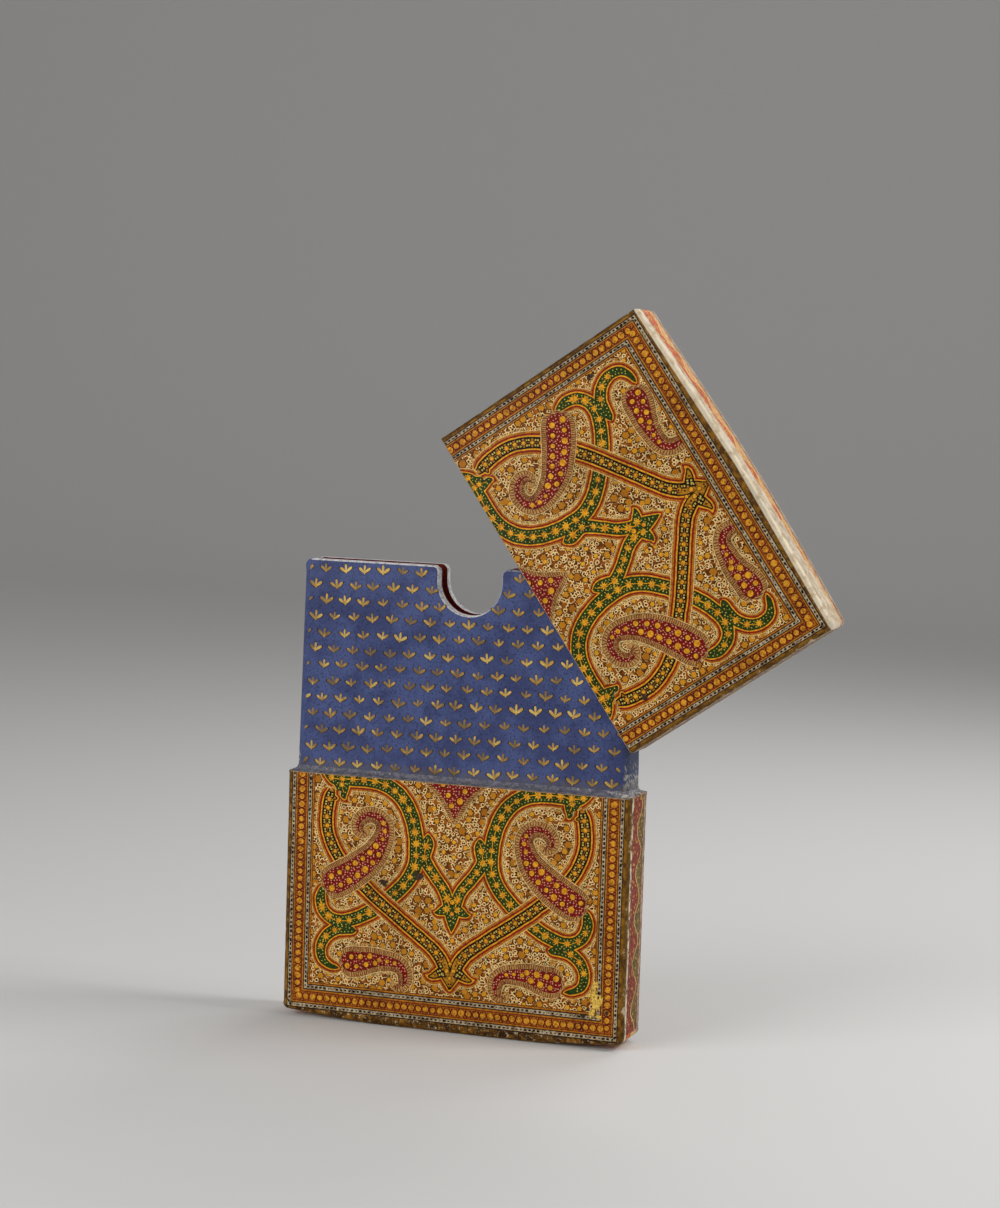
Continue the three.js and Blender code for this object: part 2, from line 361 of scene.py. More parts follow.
@dataclass(frozen=True)
class SprigPaint(Pigment):
    """The gold of the sleeve's sprigs, bright in places, with painted shade that darkens them towards the
    upper left.
    """

    def material(self) -> Material:
        """The sprigs' gold as a material."""
        paint = Paint(self.name)
        patch = paint.noise(0.22, 3.0, 0.6)
        grain = paint.noise(3.2, 4.0, 0.75)
        colour = paint.mix(self.colour, self.aged, patch.rises(0.36, 0.6))
        colour = paint.mix(colour, "DCBE72", (patch + grain * 0.4).rises(0.72, 0.86) * 0.8)
        colour = paint.mix(colour, "4A4A60", grain.rises(0.54, 0.66) * patch.rises(0.64, 0.4))
        # painted shade: the sprigs turn darker and duller towards the upper left of the sleeve
        rubbed = paint.u.rises(16.0, -4.0) * paint.w.rises(38.0, 30.0)
        colour = paint.mix(colour, "6E5A44", rubbed * (0.2 + patch.rises(0.6, 0.4) * 0.5))
        paint.bump(grain, 0.03)
        return paint.finish(colour, self.rough + grain * 0.2, self.metal, 0.0)


class Colour(Enum):
    """The paints on the boards."""

    CREAM = Pigment("cream_paint", "F6D690", "C8964E")
    OCHRE = Pigment("ochre_paint", "C87E20", "92520F", metal=0.1)
    YELLOW = Pigment("yellow_gold_paint", "F4B026", "C67C14", metal=0.15, rough=0.36)
    GOLD = Pigment("gold_paint", "F4AE26", "BA7414", metal=0.2, rough=0.36)
    RUNG = Pigment("rung_gold_paint", "C88A1E", "8E5A10")
    BEAD = Pigment("bead_band_paint", "BC6A18", "8C420C")
    RED = Pigment("red_line_paint", "9C260E", "74180A")
    CRIMSON = Pigment("crimson_paint", "8C120E", "600B08", wear=0.12, dots="E0A07C")
    GREEN = Pigment("green_paint", "2E4810", "1A2C08", wear=0.1)
    BLACK = Pigment("black_line_paint", "160A02", "2A1404", wear=0.1)
    BROWN = Pigment("brown_line_paint", "4E250C", "6C3C14", wear=0.2)
    DOT = Pigment("pale_dot_paint", "E4CC64", "B8983A", wear=0.1)
    WHITE = Pigment("white_band_paint", "CCBA98", "6E5030", wear=0.7)
    FRINGE = Pigment("fringe_paint", "D0A05C", "A07036", wear=0.2)
    HATCH = Pigment("fringe_hatch_paint", "7A2E18", "561E10", wear=0.1)
    RUST = Pigment("rust_line_paint", "6A1A0A", "481208", wear=0.15)
    SPOT = Pigment("bare_spot_paint", "3A2A20", "564030", rough=0.7, wear=0.0)
    SPRIG = SprigPaint("sprig_gold", "846C42", "BE9648", metal=0.25, rough=0.36)
    RUBBED = Pigment("rubbed_gold_paint", "FFD868", "A8701C", metal=0.3, rough=0.3, wear=0.5)
    BORDER = Pigment("border_bead_paint", "EEA62C", "985A16", metal=0.1)
    SHADE = Pigment("sprig_edge_paint", "2A2232", "40301E", wear=0.0)


class Finishes:
    """The materials of the case, each made once and kept."""

    def __init__(self) -> None:
        """Starts with none made."""
        self.made: dict[str, Material] = {}

    def paint(self, colour: Colour) -> Material:
        """The material of one paint."""
        return self.keep(colour.value.name, colour.value.material)

    def keep(self, name: str, make: Callable[[], Material]) -> Material:
        """A material by name, made at its first use."""
        if name not in self.made:
            self.made[name] = make()
        return self.made[name]


@dataclass(frozen=True)
class FieldPaint:
    """The gold ground of a painted face: flowers in a cream web of rings, and the ochre margin."""

    name: str
    field_side: float
    field_end: float
    end_cream: float
    flaked: float

    @staticmethod
    def flowers(paint: Paint, flat: Value) -> tuple[Value, Value, Value]:
        """Draws the flower heads.

        Args:
            paint: The material under construction.
            flat: The place on the face.

        Returns:
            Their gold, their brown outline and a random number for each.
        """
        cells = paint.cells(flat, 0.44, 0.8)
        centre = paint.graph.split(cells["Position"])
        here = paint.graph.split(flat)
        across = here["X"] - centre["X"]
        along = here["Y"] - centre["Y"]
        petals = (along.maths("ARCTAN2", across) * 6.0).maths("COSINE") * 0.08
        reach = (across * across + along * along).maths("SQRT") - petals
        chance = paint.lot(cells, "Red")
        ratio = reach / (chance * 0.38 + 0.42)
        return ratio.rises(1.04, 0.9), ratio.rises(1.36, 1.2), chance

    @staticmethod
    def web(paint: Paint, flat: Value) -> tuple[Value, Value]:
        """Draws the cream web with its rings on the dark gold ground.

        Args:
            paint: The material under construction.
            flat: The place on the face.

        Returns:
            The colour and how much of it is cream.
        """
        ground = paint.mix("A65C10", "5E2E08", paint.noise(0.9, 4.0).rises(0.35, 0.65))
        broken = paint.noise(0.75, 2.0).rises(0.45, 0.52)
        edges = paint.cells(flat, 0.9, 0.9, "DISTANCE_TO_EDGE")["Distance"]
        rings = paint.cells(flat, 0.98, 0.85)
        ring = (rings["Distance"] - 0.31).size().rises(0.1, 0.05)
        cream = (edges.rises(0.075, 0.04) * broken).maths("MAXIMUM", ring)
        speck = rings["Distance"].rises(0.2, 0.13) * paint.lot(rings, "Green").rises(0.15, 0.2)
        return paint.mix(paint.mix(ground, "FFDC96", cream), "241208", speck), cream

    def margin(self, paint: Paint) -> Value:
        """The dirty ochre outside the frame, flaked to the board near the closed end.

        Args:
            paint: The material under construction.

        Returns:
            The margin's colour.
        """
        margin = paint.mix("96661A", "5C380E", paint.noise(0.7, 5.0).rises(0.38, 0.6))
        margin = paint.mix(margin, "D8A848", paint.noise(1.1, 6.0, 0.8).rises(0.6, 0.68) * 0.7)
        margin = paint.mix(margin, "3A220E", paint.noise(0.9, 5.0, 0.75).rises(0.6, 0.7) * 0.6)
        low = paint.w.rises(self.field_end + 4.9, self.field_end + 5.3) * self.flaked
        margin = paint.mix(margin, "35200F", paint.noise(0.6, 5.0, 0.75).rises(0.42, 0.56) * low)
        return paint.mix(margin, "DCC89C", paint.noise(1.0, 6.0, 0.8).rises(0.55, 0.62) * low)

    def worn_edges(self, paint: Paint, colour: Value, worn: Value) -> Value:
        """Lays the board's rubbed edges over a colour, and the pale band at the closed end, which is worn
        gesso and in part a painted highlight.

        Args:
            paint: The material under construction.
            colour: The colour.
            worn: The noise of the wear.

        Returns:
            The colour with its edges.
        """
        turned = paint.rounding()
        olive = paint.mix("54380F", "7E5A22", worn.rises(0.4, 0.6))
        colour = paint.mix(colour, olive, turned.rises(0.25, 0.5))
        # pale band at the closed end: worn gesso, and in part a painted highlight where the end faces the
        # light
        bowed = paint.w + paint.u.size() * 0.029
        pale = paint.mix("EBDCC0", "CBB08A", worn.rises(0.45, 0.7))
        colour = paint.mix(colour, pale, bowed.rises(self.end_cream - 0.15, self.end_cream + 0.15))
        chipped = (worn + turned * 0.12).rises(0.66, 0.72) * turned.rises(0.1, 0.6)
        return paint.mix(colour, "BFAE90", chipped)

    def material(self) -> Material:
        """The painted face as a material."""
        paint = Paint(self.name)
        flat = paint.wandered(paint.vector(paint.u, paint.w), 0.9, 0.26)
        colour, cream = self.web(paint, flat)
        head, outline, chance = self.flowers(paint, flat)
        colour = paint.mix(colour, "40200A", outline)
        colour = paint.mix(colour, paint.mix("F2AA28", "AC6812", chance), head)
        inside = paint.u.size().rises(self.field_side + 0.03, self.field_side - 0.03)
        inside = inside * paint.w.rises(self.field_end + 0.03, self.field_end - 0.03)
        colour = paint.mix(self.margin(paint), colour, inside)
        worn = paint.noise(0.5, 6.0, 0.7)
        colour = self.worn_edges(paint, colour, worn)
        colour = paint.mix(colour, "6B4620", paint.noise(0.55, 5.0, 0.7).rises(0.62, 0.75) * 0.45)
        colour = paint.shade(colour, paint.noise(0.12, 3.0, 0.5).rises(0.48, 0.75) * 0.2)
        colour = paint.mix(colour, "A98F72", paint.w.rises(0.3, 0.15) * worn.rises(0.4, 0.5))
        paint.bump(head * 0.5 + cream * 0.3 + paint.noise(3.0, 3.0) * 0.6, 0.03)
        return paint.finish(colour, 0.38 + worn * 0.2, 0.1, 0.05)


@dataclass(frozen=True)
class VinePaint:
    """The red edge of a half with its gold wavy vine between pale borders."""

    name: str
    along_end: bool
    pale_to: float
    pale_slope: float = 0.0
    red: Tones = ("963420", "6A2014")
    olive: Tones = ("7C6226", "54441A")
    fullness: float = 1.0

    def material(self) -> Material:
        """The painted edge as a material."""
        paint = Paint(self.name)
        full = self.fullness
        along = paint.u if self.along_end else paint.w
        across = paint.v
        wander = paint.noise(0.25, 2.0) - 0.5
        wave = (along * (2 * math.pi / 9.2)).maths("SINE") * 1.5 + wander * 1.6 + 0.9
        side = across - wave
        worn = paint.noise(0.6, 6.0, 0.7)
        red = paint.mix(*self.red, paint.noise(1.3, 4.0).rises(0.4, 0.6))
        olive = paint.mix(*self.olive, paint.noise(1.1, 4.0).rises(0.4, 0.6))
        colour = paint.mix(red, olive, side.rises(-0.1, 0.1))
        flat = paint.wandered(paint.vector(across, along), 0.8, 0.2)
        buds = paint.cells(flat, 0.55, 0.8)["Distance"]
        colour = paint.mix(colour, "D09A40", buds.rises(0.17 * full, 0.12 * full))
        specks = paint.cells(flat, 1.4, 0.9)["Distance"].rises(0.16 * full, 0.08 * full)
        colour = paint.mix(colour, "E2C07A", specks * 0.6)
        stem = side.size()
        colour = paint.mix(colour, "4E2A12", stem.rises(0.34, 0.26))
        colour = paint.mix(colour, "E6C078", stem.rises(0.2 * full, 0.14 * full))
        border = across.size().rises(3.55, 3.65)
        line = paint.mix("E2D2B4", "6E4426", worn.rises(0.46, 0.56))
        line = paint.mix(line, "A8786A", across.rises(0.0, 0.5) * 0.7)
        colour = paint.mix(colour, line, border)
        gap = across.size().within(3.42, 3.6, 0.04)
        colour = paint.mix(colour, "5A3216", gap)
        rim = across.size().rises(4.6, 4.75)
        colour = paint.mix(colour, "5E3E1C", rim * (1.0 - worn.rises(0.52, 0.62)))
        # the strip's front part painted pale: worn gesso, and in part a painted highlight on the cap's end
        pale = paint.mix("E2D3BC", "BFA888", paint.noise(0.5, 6.0, 0.75).rises(0.42, 0.62))
        before = (across - along * self.pale_slope).rises(self.pale_to + 0.6, self.pale_to - 0.6)
        colour = paint.mix(colour, pale, before * (1.0 - worn.rises(0.58, 0.66) * 0.7))
        colour = paint.mix(colour, "CDB89A", worn.rises(0.64, 0.7) * 0.8)
        colour = paint.shade(colour, paint.noise(0.14, 3.0).rises(0.45, 0.75) * 0.25)
        lip = paint.w.rises(0.32, 0.2)
        colour = paint.mix(colour, "A98F72", lip * worn.rises(0.4, 0.5))
        paint.bump(paint.noise(2.2, 4.0) + stem.rises(0.3, 0.1) * 0.3, 0.04)
        return paint.finish(colour, 0.42 + worn * 0.2, 0.08, 0.06)


class BarePaint:
    """The surfaces without ornament: blue sleeve, gesso, red paper and bare board."""

    @staticmethod
    def blue() -> Material:
        """The sleeve's ultramarine, rubbed pale on its lip and edges."""
        paint = Paint("sleeve_blue")
        cloud = paint.noise(0.16, 4.0, 0.6)
        grain = paint.noise(2.2, 4.0, 0.7)
        colour = paint.mix("3E4772", "505C8C", cloud.rises(0.35, 0.65))
        colour = paint.mix(colour, "23283A", grain.rises(0.48, 0.7) * 0.7)
        streaks = paint.noise(1.2, 5.0, 0.7, paint.vector(paint.u * 0.12, paint.v, paint.w * 1.4))
        colour = paint.mix(colour, "6C7398", streaks.rises(0.62, 0.78) * 0.45)
        turned = paint.rounding()
        worn = paint.noise(1.1, 6.0, 0.75)
        side = paint.u.size().rises(34.6, 35.2)
        colour = paint.mix(colour, "4A5068", side * 0.7)
        scuffed = (worn + paint.w.rises(9.0, 1.0) * 0.16).rises(0.6, 0.68)
        colour = paint.mix(colour, "A8A49C", side * scuffed)
        low_u = paint.u.size().rises(34.2, 33.6)
        dim = paint.u.rises(2.0, 6.0) * 0.6
        lip = turned.rises(0.3, 0.5) * paint.w.rises(20.0, 25.0) * low_u * (1.0 - dim)
        pale = paint.mix("F6F4F4", "B6B4BC", worn.rises(0.46, 0.62))
        colour = paint.mix(colour, "1C2030", turned.within(0.2, 0.36, 0.06) * lip.rises(0.0, 0.05) * 0.8)
        colour = paint.mix(colour, pale, lip * worn.rises(0.78, 0.6))
        dust = paint.w.rises(3.4, 1.2) * worn.rises(0.35, 0.6)
        colour = paint.mix(colour, "6A6258", dust * 0.7)
        paint.bump(grain + streaks * 0.6, 0.05)
        return paint.finish(colour, 0.5 + grain * 0.2, 0.0, 0.08)

    @staticmethod
    def gesso() -> Material:
        """The grey filler round the sleeve's root, dirty and chipped."""
        paint = Paint("gesso_grey")
        lumps = paint.noise(0.9, 6.0, 0.75)
        colour = paint.mix("84828C", "5A5C6A", lumps.rises(0.38, 0.62))
        chips = paint.noise(1.6, 5.0, 0.8) + paint.u.rises(30.0, 35.5) * 0.1
        colour = paint.mix(colour, "CEC8BE", chips.rises(0.58, 0.68))
        colour = paint.mix(colour, "5A4A40", paint.noise(0.5, 5.0, 0.7).rises(0.58, 0.7) * 0.6)
        paint.bump(lumps + paint.noise(4.0, 3.0) * 0.4, 0.12)
        return paint.finish(colour, 0.75)

    @staticmethod
    def paper() -> Material:
        """The dark red lining paper."""
        paint = Paint("lining_red", on_cad=True)
        fibre = paint.noise(1.8, 6.0, 0.75)
        colour = paint.mix("7C2416", "4C140E", fibre.rises(0.4, 0.65))
        colour = paint.mix(colour, "8A4A3A", paint.noise(0.9, 6.0, 0.8).rises(0.66, 0.74) * 0.6)
        paint.bump(fibre, 0.05)
        return paint.finish(colour, 0.75)

    @staticmethod
    def board() -> Material:
        """Bare brown pasteboard, as inside the cap."""
        paint = Paint("bare_pasteboard", on_cad=True)
        fibre = paint.noise(1.1, 6.0, 0.7)
        colour = paint.mix("8C6E50", "6A4E36", fibre.rises(0.35, 0.65))
        colour = paint.mix(colour, "B09878", paint.noise(3.5, 4.0, 0.8).rises(0.62, 0.75) * 0.6)
        colour = paint.mix(colour, "4A3424", paint.noise(0.2, 4.0).rises(0.5, 0.7) * 0.5)
        paint.bump(fibre + paint.noise(5.0, 2.0) * 0.5, 0.06)
        return paint.finish(colour, 0.85)


def corners(node: Object) -> np.ndarray:
    """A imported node's vertices, in metres."""
    flat = np.zeros(len(node.data.vertices) * 3, np.float32)
    node.data.vertices.foreach_get("co", flat)
    return flat.reshape(-1, 3).astype(float)


@dataclass(frozen=True)
class Axes:
    """Where a half lies: the middle of its mouth and its right, back and closed-end directions."""

    origin: np.ndarray
    right: np.ndarray
    back: np.ndarray
    down: np.ndarray

    @staticmethod
    def measured(
        nodes: Sequence[Object],
        directions: Sequence[Sequence[float]],
    ) -> tuple[Axes, np.ndarray]:
        """Finds a half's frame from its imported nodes.

        Args:
            nodes: The half's nodes.
            directions: Its right, back and closed-end directions.

        Returns:
            The axes and the half's size along each, in millimetres.
        """
        unit = np.array(directions, float)
        spots = np.vstack([corners(node) for node in nodes]) @ unit.T
        low, high = spots.min(0), spots.max(0)
        mouth = np.array([(low[0] + high[0]) / 2, (low[1] + high[1]) / 2, low[2]])
        return Axes(mouth @ unit, *unit), (high - low) / MM

    def reach(self, node: Object) -> tuple[np.ndarray, np.ndarray]:
        """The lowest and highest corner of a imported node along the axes, in millimetres."""
        spots = (corners(node) - self.origin) @ np.array([self.right, self.back, self.down]).T / MM
        return spots.min(0), spots.max(0)

    def world(self, points: np.ndarray) -> np.ndarray:
        """Points of the half's frame, in millimetres, as places in metres."""
        return self.origin + MM * points @ np.array([self.right, self.back, self.down])


class Skin:
    """A mesh under construction, in millimetres of a half's frame."""

    def __init__(self) -> None:
        """Starts empty."""
        self.points: list[np.ndarray] = []
        self.faces: list[tuple[int, ...]] = []
        self.finish_of: list[int] = []
        self.rounding: list[float] = []

    def add_ring(self, points: np.ndarray, rounding: float) -> int:
        """Adds a ring of points and returns its first index.

        Args:
            points: The points.
            rounding: How far round the board's edge they lie.

        Returns:
            The first point's number.
        """
        first = len(self.points)
        self.points.extend(points)
        self.rounding.extend([rounding] * len(points))
        return first

    def join_rings(self, first: int, second: int, count: int) -> None:
        """Closes the band between two rings.

        Args:
            first: The first ring's first number.
            second: The second ring's first number.
            count: How many points each has.
        """
        for i in range(count):
            j = (i + 1) % count
            self.faces.append((first + i, first + j, second + j, second + i))
            self.finish_of.append(0)

    def fill(self, first: int, count: int, finish: int = 0) -> None:
        """Fills a ring with one flat face."""
        self.faces.append(tuple(range(first, first + count)))
        self.finish_of.append(finish)

    def build(
        self,
        name: str,
        axes: Axes,
        finishes: Sequence[Material],
        cut_at: float | None = None,
        shift: Move | None = None,
    ) -> Object:
        """Makes the piece.

        Args:
            name: The piece's name.
            axes: The frame that it was drawn in.
            finishes: Its materials, by number.
            cut_at: A w at which every face gets an edge.
            shift: A last change to the points, in millimetres.

        Returns:
            The object, at the origin, with its place in its mesh.
        """
        mesh = bpy.data.meshes.new(name)
        mesh.from_pydata([tuple(p) for p in self.points], [], self.faces)
        mesh.polygons.foreach_set("material_index", self.finish_of)
        turned = mesh.attributes.new(ROUNDING, "FLOAT", "POINT")
        turned.data.foreach_set("value", self.rounding)
        shape = bmesh.new()
        shape.from_mesh(mesh)
        bmesh.ops.remove_doubles(shape, verts=shape.verts, dist=1e-4)
        if cut_at is not None:
            whole = [*shape.verts, *shape.edges, *shape.faces]
            bmesh.ops.bisect_plane(shape, geom=whole, plane_co=(0, 0, cut_at), plane_no=(0, 0, 1))
        bmesh.ops.triangulate(shape, faces=[f for f in shape.faces if len(f.verts) > 4])
        bmesh.ops.dissolve_degenerate(shape, edges=shape.edges, dist=1e-5)
        bmesh.ops.recalc_face_normals(shape, faces=shape.faces)
        shape.to_mesh(mesh)
        shape.free()
        return settle(mesh, name, axes, finishes, shift)


def settle(
    mesh: Mesh,
    name: str,
    axes: Axes,
    finishes: Sequence[Material],
    shift: Move | None = None,
) -> Object:
    """Moves a drawn mesh from its half's frame to its place and makes its object.

    Args:
        mesh: The mesh, in millimetres of the half's frame, with its faces outwards.
        name: The object's name.
        axes: The half's frame.
        finishes: The materials, by number.
        shift: A last change to the points, in millimetres.

    Returns:
        The object, in the scene.
    """
    flat = np.zeros(len(mesh.vertices) * 3, np.float32)
    mesh.vertices.foreach_get("co", flat)
    points = flat.reshape(-1, 3).astype(float)
    if shift is not None:
        points = shift(points)
    if PLACE in mesh.attributes:
        mesh.attributes.remove(mesh.attributes[PLACE])
    spots = mesh.attributes.new(PLACE, "FLOAT_VECTOR", "POINT")
    spots.data.foreach_set("vector", points.astype(np.float32).ravel())
    mesh.vertices.foreach_set("co", axes.world(points).astype(np.float32).ravel())
    if np.linalg.det([axes.right, axes.back, axes.down]) < 0:
        mesh.flip_normals()
    for finish in finishes:
        mesh.materials.append(finish)
    mesh.update()
    piece = bpy.data.objects.new(name, mesh)
    bpy.context.scene.collection.objects.link(piece)
    return piece


def signed_area(ring: Sequence[Vector]) -> float:
    """The area inside a flat ring, under nothing where it runs clockwise."""
    return sum(a.x * b.y - b.x * a.y for a, b in zip(ring, [*ring[1:], ring[0]])) / 2


def join(piece: Object, body: str) -> None:
    """Joins a piece to its body."""
    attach(piece, body)
    LOG.info("made %s", piece.name)


def dress(piece: Object, body: str, node: str) -> None:
    """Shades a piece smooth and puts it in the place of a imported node.

    Args:
        piece: The piece.
        body: The body that it rides.
        node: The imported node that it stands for.
    """
    piece.data.polygons.foreach_set("use_smooth", [True] * len(piece.data.polygons))
    piece.data.set_sharp_from_angle(angle=math.radians(SHARP_DEGREES))
    join(piece, body)
    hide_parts(node)


def spaced(start: float, stop: float, step: float) -> np.ndarray:
    """Numbers from start up to, and without, stop, at most a step apart."""
    count = max(1, math.ceil(abs(stop - start) / step))
    return np.linspace(start, stop, count, endpoint=False)


def arc(centre: Sequence[float], radius: float, first: float, last: float, steps: int) -> list[Spot]:
    """Points along a circle between two angles, without the last.

    Args:
        centre: The circle's centre.
        radius: Its radius.
        first: The first angle, in quarter turns.
        last: The last angle, in quarter turns.
        steps: How many points.

    Returns:
        The points.
    """
    turns = np.linspace(first, last, steps, endpoint=False) * math.pi / 2
    return [(centre[0] + radius * math.cos(t), centre[1] + radius * math.sin(t)) for t in turns]


@dataclass
class Outline:
    """A closed flat outline, anticlockwise, with a rounding radius for each of its edges."""

    points: list[Spot] = field(default_factory=list)
    radii: list[float] = field(default_factory=list)

    def go(self, points: Sequence[Spot], radius: float) -> None:
        """Adds points, the edge after each of them rounded by a radius."""
        self.points.extend((float(x), float(y)) for x, y in points)
        self.radii.extend([radius] * len(points))

    def inset(self, share: float) -> np.ndarray:
        """Draws the outline in.

        Args:
            share: The share of each edge's radius by which it is drawn in.

        Returns:
            The points of the smaller outline.
        """
        spots = np.array(self.points)
        ahead = np.roll(spots, -1, 0) - spots
        ahead /= np.linalg.norm(ahead, axis=1)[:, None]
        inward = np.stack([-ahead[:, 1], ahead[:, 0]], 1)
        before = np.roll(inward, 1, 0)
        far = share * np.array(self.radii)
        far_before = np.roll(far, 1)
        det = before[:, 0] * inward[:, 1] - before[:, 1] * inward[:, 0]
        straight = np.abs(det) < 0.3
        safe = np.where(straight, 1.0, det)
        x = (far_before * inward[:, 1] - far * before[:, 1]) / safe
        y = (before[:, 0] * far - inward[:, 0] * far_before) / safe
        mean = inward + before
        mean /= np.linalg.norm(mean, axis=1)[:, None]
        plain = mean * ((far + far_before) / 2)[:, None]
        return spots + np.where(straight[:, None], plain, np.stack([x, y], 1))

    def corner_radii(self) -> np.ndarray:
        """The rounding at each point, the mean of its two edges."""
        radii = np.array(self.radii)
        return (radii + np.roll(radii, 1)) / 2

    def inward(self) -> np.ndarray:
        """The direction into the board at each point."""
        way = self.inset(1.0) - self.inset(0.0)
        return way / np.maximum(np.linalg.norm(way, axis=1), 1e-6)[:, None]

    def part(
        self, keep: Callable[[float, float], bool], close: Sequence[Spot]
    ) -> tuple[np.ndarray, np.ndarray]:
        """One run of the outline, closed by other points.

        Args:
            keep: Says of a point whether it belongs to the run.
            close: The points that close it, inside the board.

        Returns:
            The run's points and the direction inwards at each, which is nothing at the closing ones.
        """
        passed = [keep(x, y) for x, y in self.points]
        count = len(passed)
        start = next(i for i in range(count) if passed[i] and not passed[i - 1])
        run = [(start + i) % count for i in range(count) if passed[(start + i) % count]]
        spots = np.array([*[self.points[i] for i in run], *close])
        ways = np.zeros_like(spots)
        ways[: len(run)] = self.inward()[run]
        return spots, ways


class Joiner:
    """Turns flat outlines into boards and strips."""

    ROUND_STEPS = 6
    STRIP_RINGS = 10
    CALM_RIM = 0.12

    @staticmethod
    def nick(points: np.ndarray, depth: float) -> np.ndarray:
        """Dents an edge by noise.

        Args:
            points: Places on the edge.
            depth: The depth of a deep dent, in millimetres.

        Returns:
            How deep the edge is dented at each place, in millimetres.
        """
        dents = []
        for point in points:
            slow = noise.noise(Vector(point) * 0.3)
            fast = noise.noise(Vector(point) * 1.3 + Vector((9.0, 4.0, 2.0)))
            dents.append(depth * (0.12 + 0.12 * slow + max(0.0, fast - 0.22)))
        return np.array(dents)

    @staticmethod
    def ring(flat: np.ndarray, level: float | np.ndarray) -> np.ndarray:
        """Points of an outline at a level."""
        return np.column_stack([flat[:, 0], np.broadcast_to(level, len(flat)), flat[:, 1]])

    def board(self, outline: Outline, outer: float, inner: float, depth: float = DENT) -> Skin:
        """A board with one rounded face.

        Args:
            outline: The board's outline.
            outer: Where its rounded face lies.
            inner: Where its flat hidden face lies.
            depth: How deep its edges are dented.

        Returns:
            The closed skin: finish 0 outside, finish 1 on the hidden face.
        """
        skin = Skin()
        away = math.copysign(1.0, outer - inner)
        radii = outline.corner_radii()
        count = len(outline.points)
        deep = np.minimum(radii, abs(outer - inner))
        behind = self.ring(outline.inset(0.0), inner)
        rings = []
        for step in range(self.ROUND_STEPS + 1):
            turn = step / self.ROUND_STEPS * math.pi / 2
            level = outer - away * deep * (1 - math.sin(turn))
            spots = self.ring(outline.inset(1 - math.cos(turn)), level)
            rings.append((spots, 1 - step / self.ROUND_STEPS))
        inward = outline.inward()
        dents = self.nick(behind, depth)
        behind[:, [0, 2]] += inward * dents[:, None]
        first = skin.add_ring(behind, 1.0)
        skin.fill(first, count, 1)
        last = first
        for spots, turned in rings:
            dents = self.nick(spots, depth) * turned
            spots[:, [0, 2]] += inward * dents[:, None]
            ring_at = skin.add_ring(spots, turned)
            skin.join_rings(last, ring_at, count)
            last = ring_at
        calm = outline.inset(1.0) + inward * self.CALM_RIM
        ring_at = skin.add_ring(self.ring(calm, outer), 0.0)
        skin.join_rings(last, ring_at, count)
        skin.fill(ring_at, count)
        return skin

    def strip(self, shape: tuple[np.ndarray, np.ndarray], reach: float, depth: float = DENT) -> Skin:
        """A strip between two boards.

        Args:
            shape: Its outline and the direction inwards at each point.
            reach: How far it goes to the front and to the back of the middle.
            depth: How deep its outside is dented.

        Returns:
            The closed skin.
        """
        skin = Skin()
        shape, inward = shape
        count = len(shape)
        last = None
        for level in np.linspace(-reach, reach, self.STRIP_RINGS):
            spots = self.ring(shape, level)
            dents = self.nick(spots, depth)
            spots[:, [0, 2]] += inward * dents[:, None]
            ring_at = skin.add_ring(spots, 1.0)
            if last is None:
                skin.fill(ring_at, count, 1)
            else:
                skin.join_rings(last, ring_at, count)
            last = ring_at
        skin.fill(last, count, 1)
        return skin


def wheel(count: int, even_x: float = 1.0, even_y: float = 1.0) -> list[Spot]:
    """Points round a circle, every other one drawn in across or up."""
    turns = [i * math.pi / (count / 2) for i in range(count)]
    scales = [(1.0, 1.0) if i % 2 else (even_x, even_y) for i in range(count)]
    return [(x * math.cos(turn), y * math.sin(turn)) for turn, (x, y) in zip(turns, scales)]


def box(middle: float, long: float, wide: float) -> list[Spot]:
    """A box with cut corners, with its middle along the stroke and its half sizes."""
    a, b = long * 0.8, wide * 0.8
    ring = [(-long, -b), (-a, -wide), (a, -wide), (long, -b), (long, b), (a, wide), (-a, wide), (-long, b)]
    return [(middle + x, y) for x, y in ring]


def bar(slope: float) -> list[Spot]:
    """A thin bar that slants one way for one and the other way for minus one."""
    half, thick = 0.42, 0.14
    ring = [(-half - thick, -slope), (thick - half, -slope), (half + thick, slope), (half - thick, slope)]
    return ring[:: int(slope)]


def leaf(tip: Spot, foot: Spot, wide: float) -> list[Spot]:
    """Draws a leaf.

    Args:
        tip: Its rounded tip.
        foot: Its narrow foot.
        wide: Half its greatest width.

    Returns:
        Its outline.
    """
    start, end = np.array(foot), np.array(tip)
    along = end - start
    side = np.array([-along[1], along[0]]) / np.linalg.norm(along)
    shape = [(0.0, 0.3), (0.3, 0.8), (0.62, 1.0), (0.88, 0.8), (1.0, 0.3)]
    right = [tuple(start + along * t - side * wide * k) for t, k in shape]
    left = [tuple(start + along * t + side * wide * k) for t, k in reversed(shape)]
    return right + left


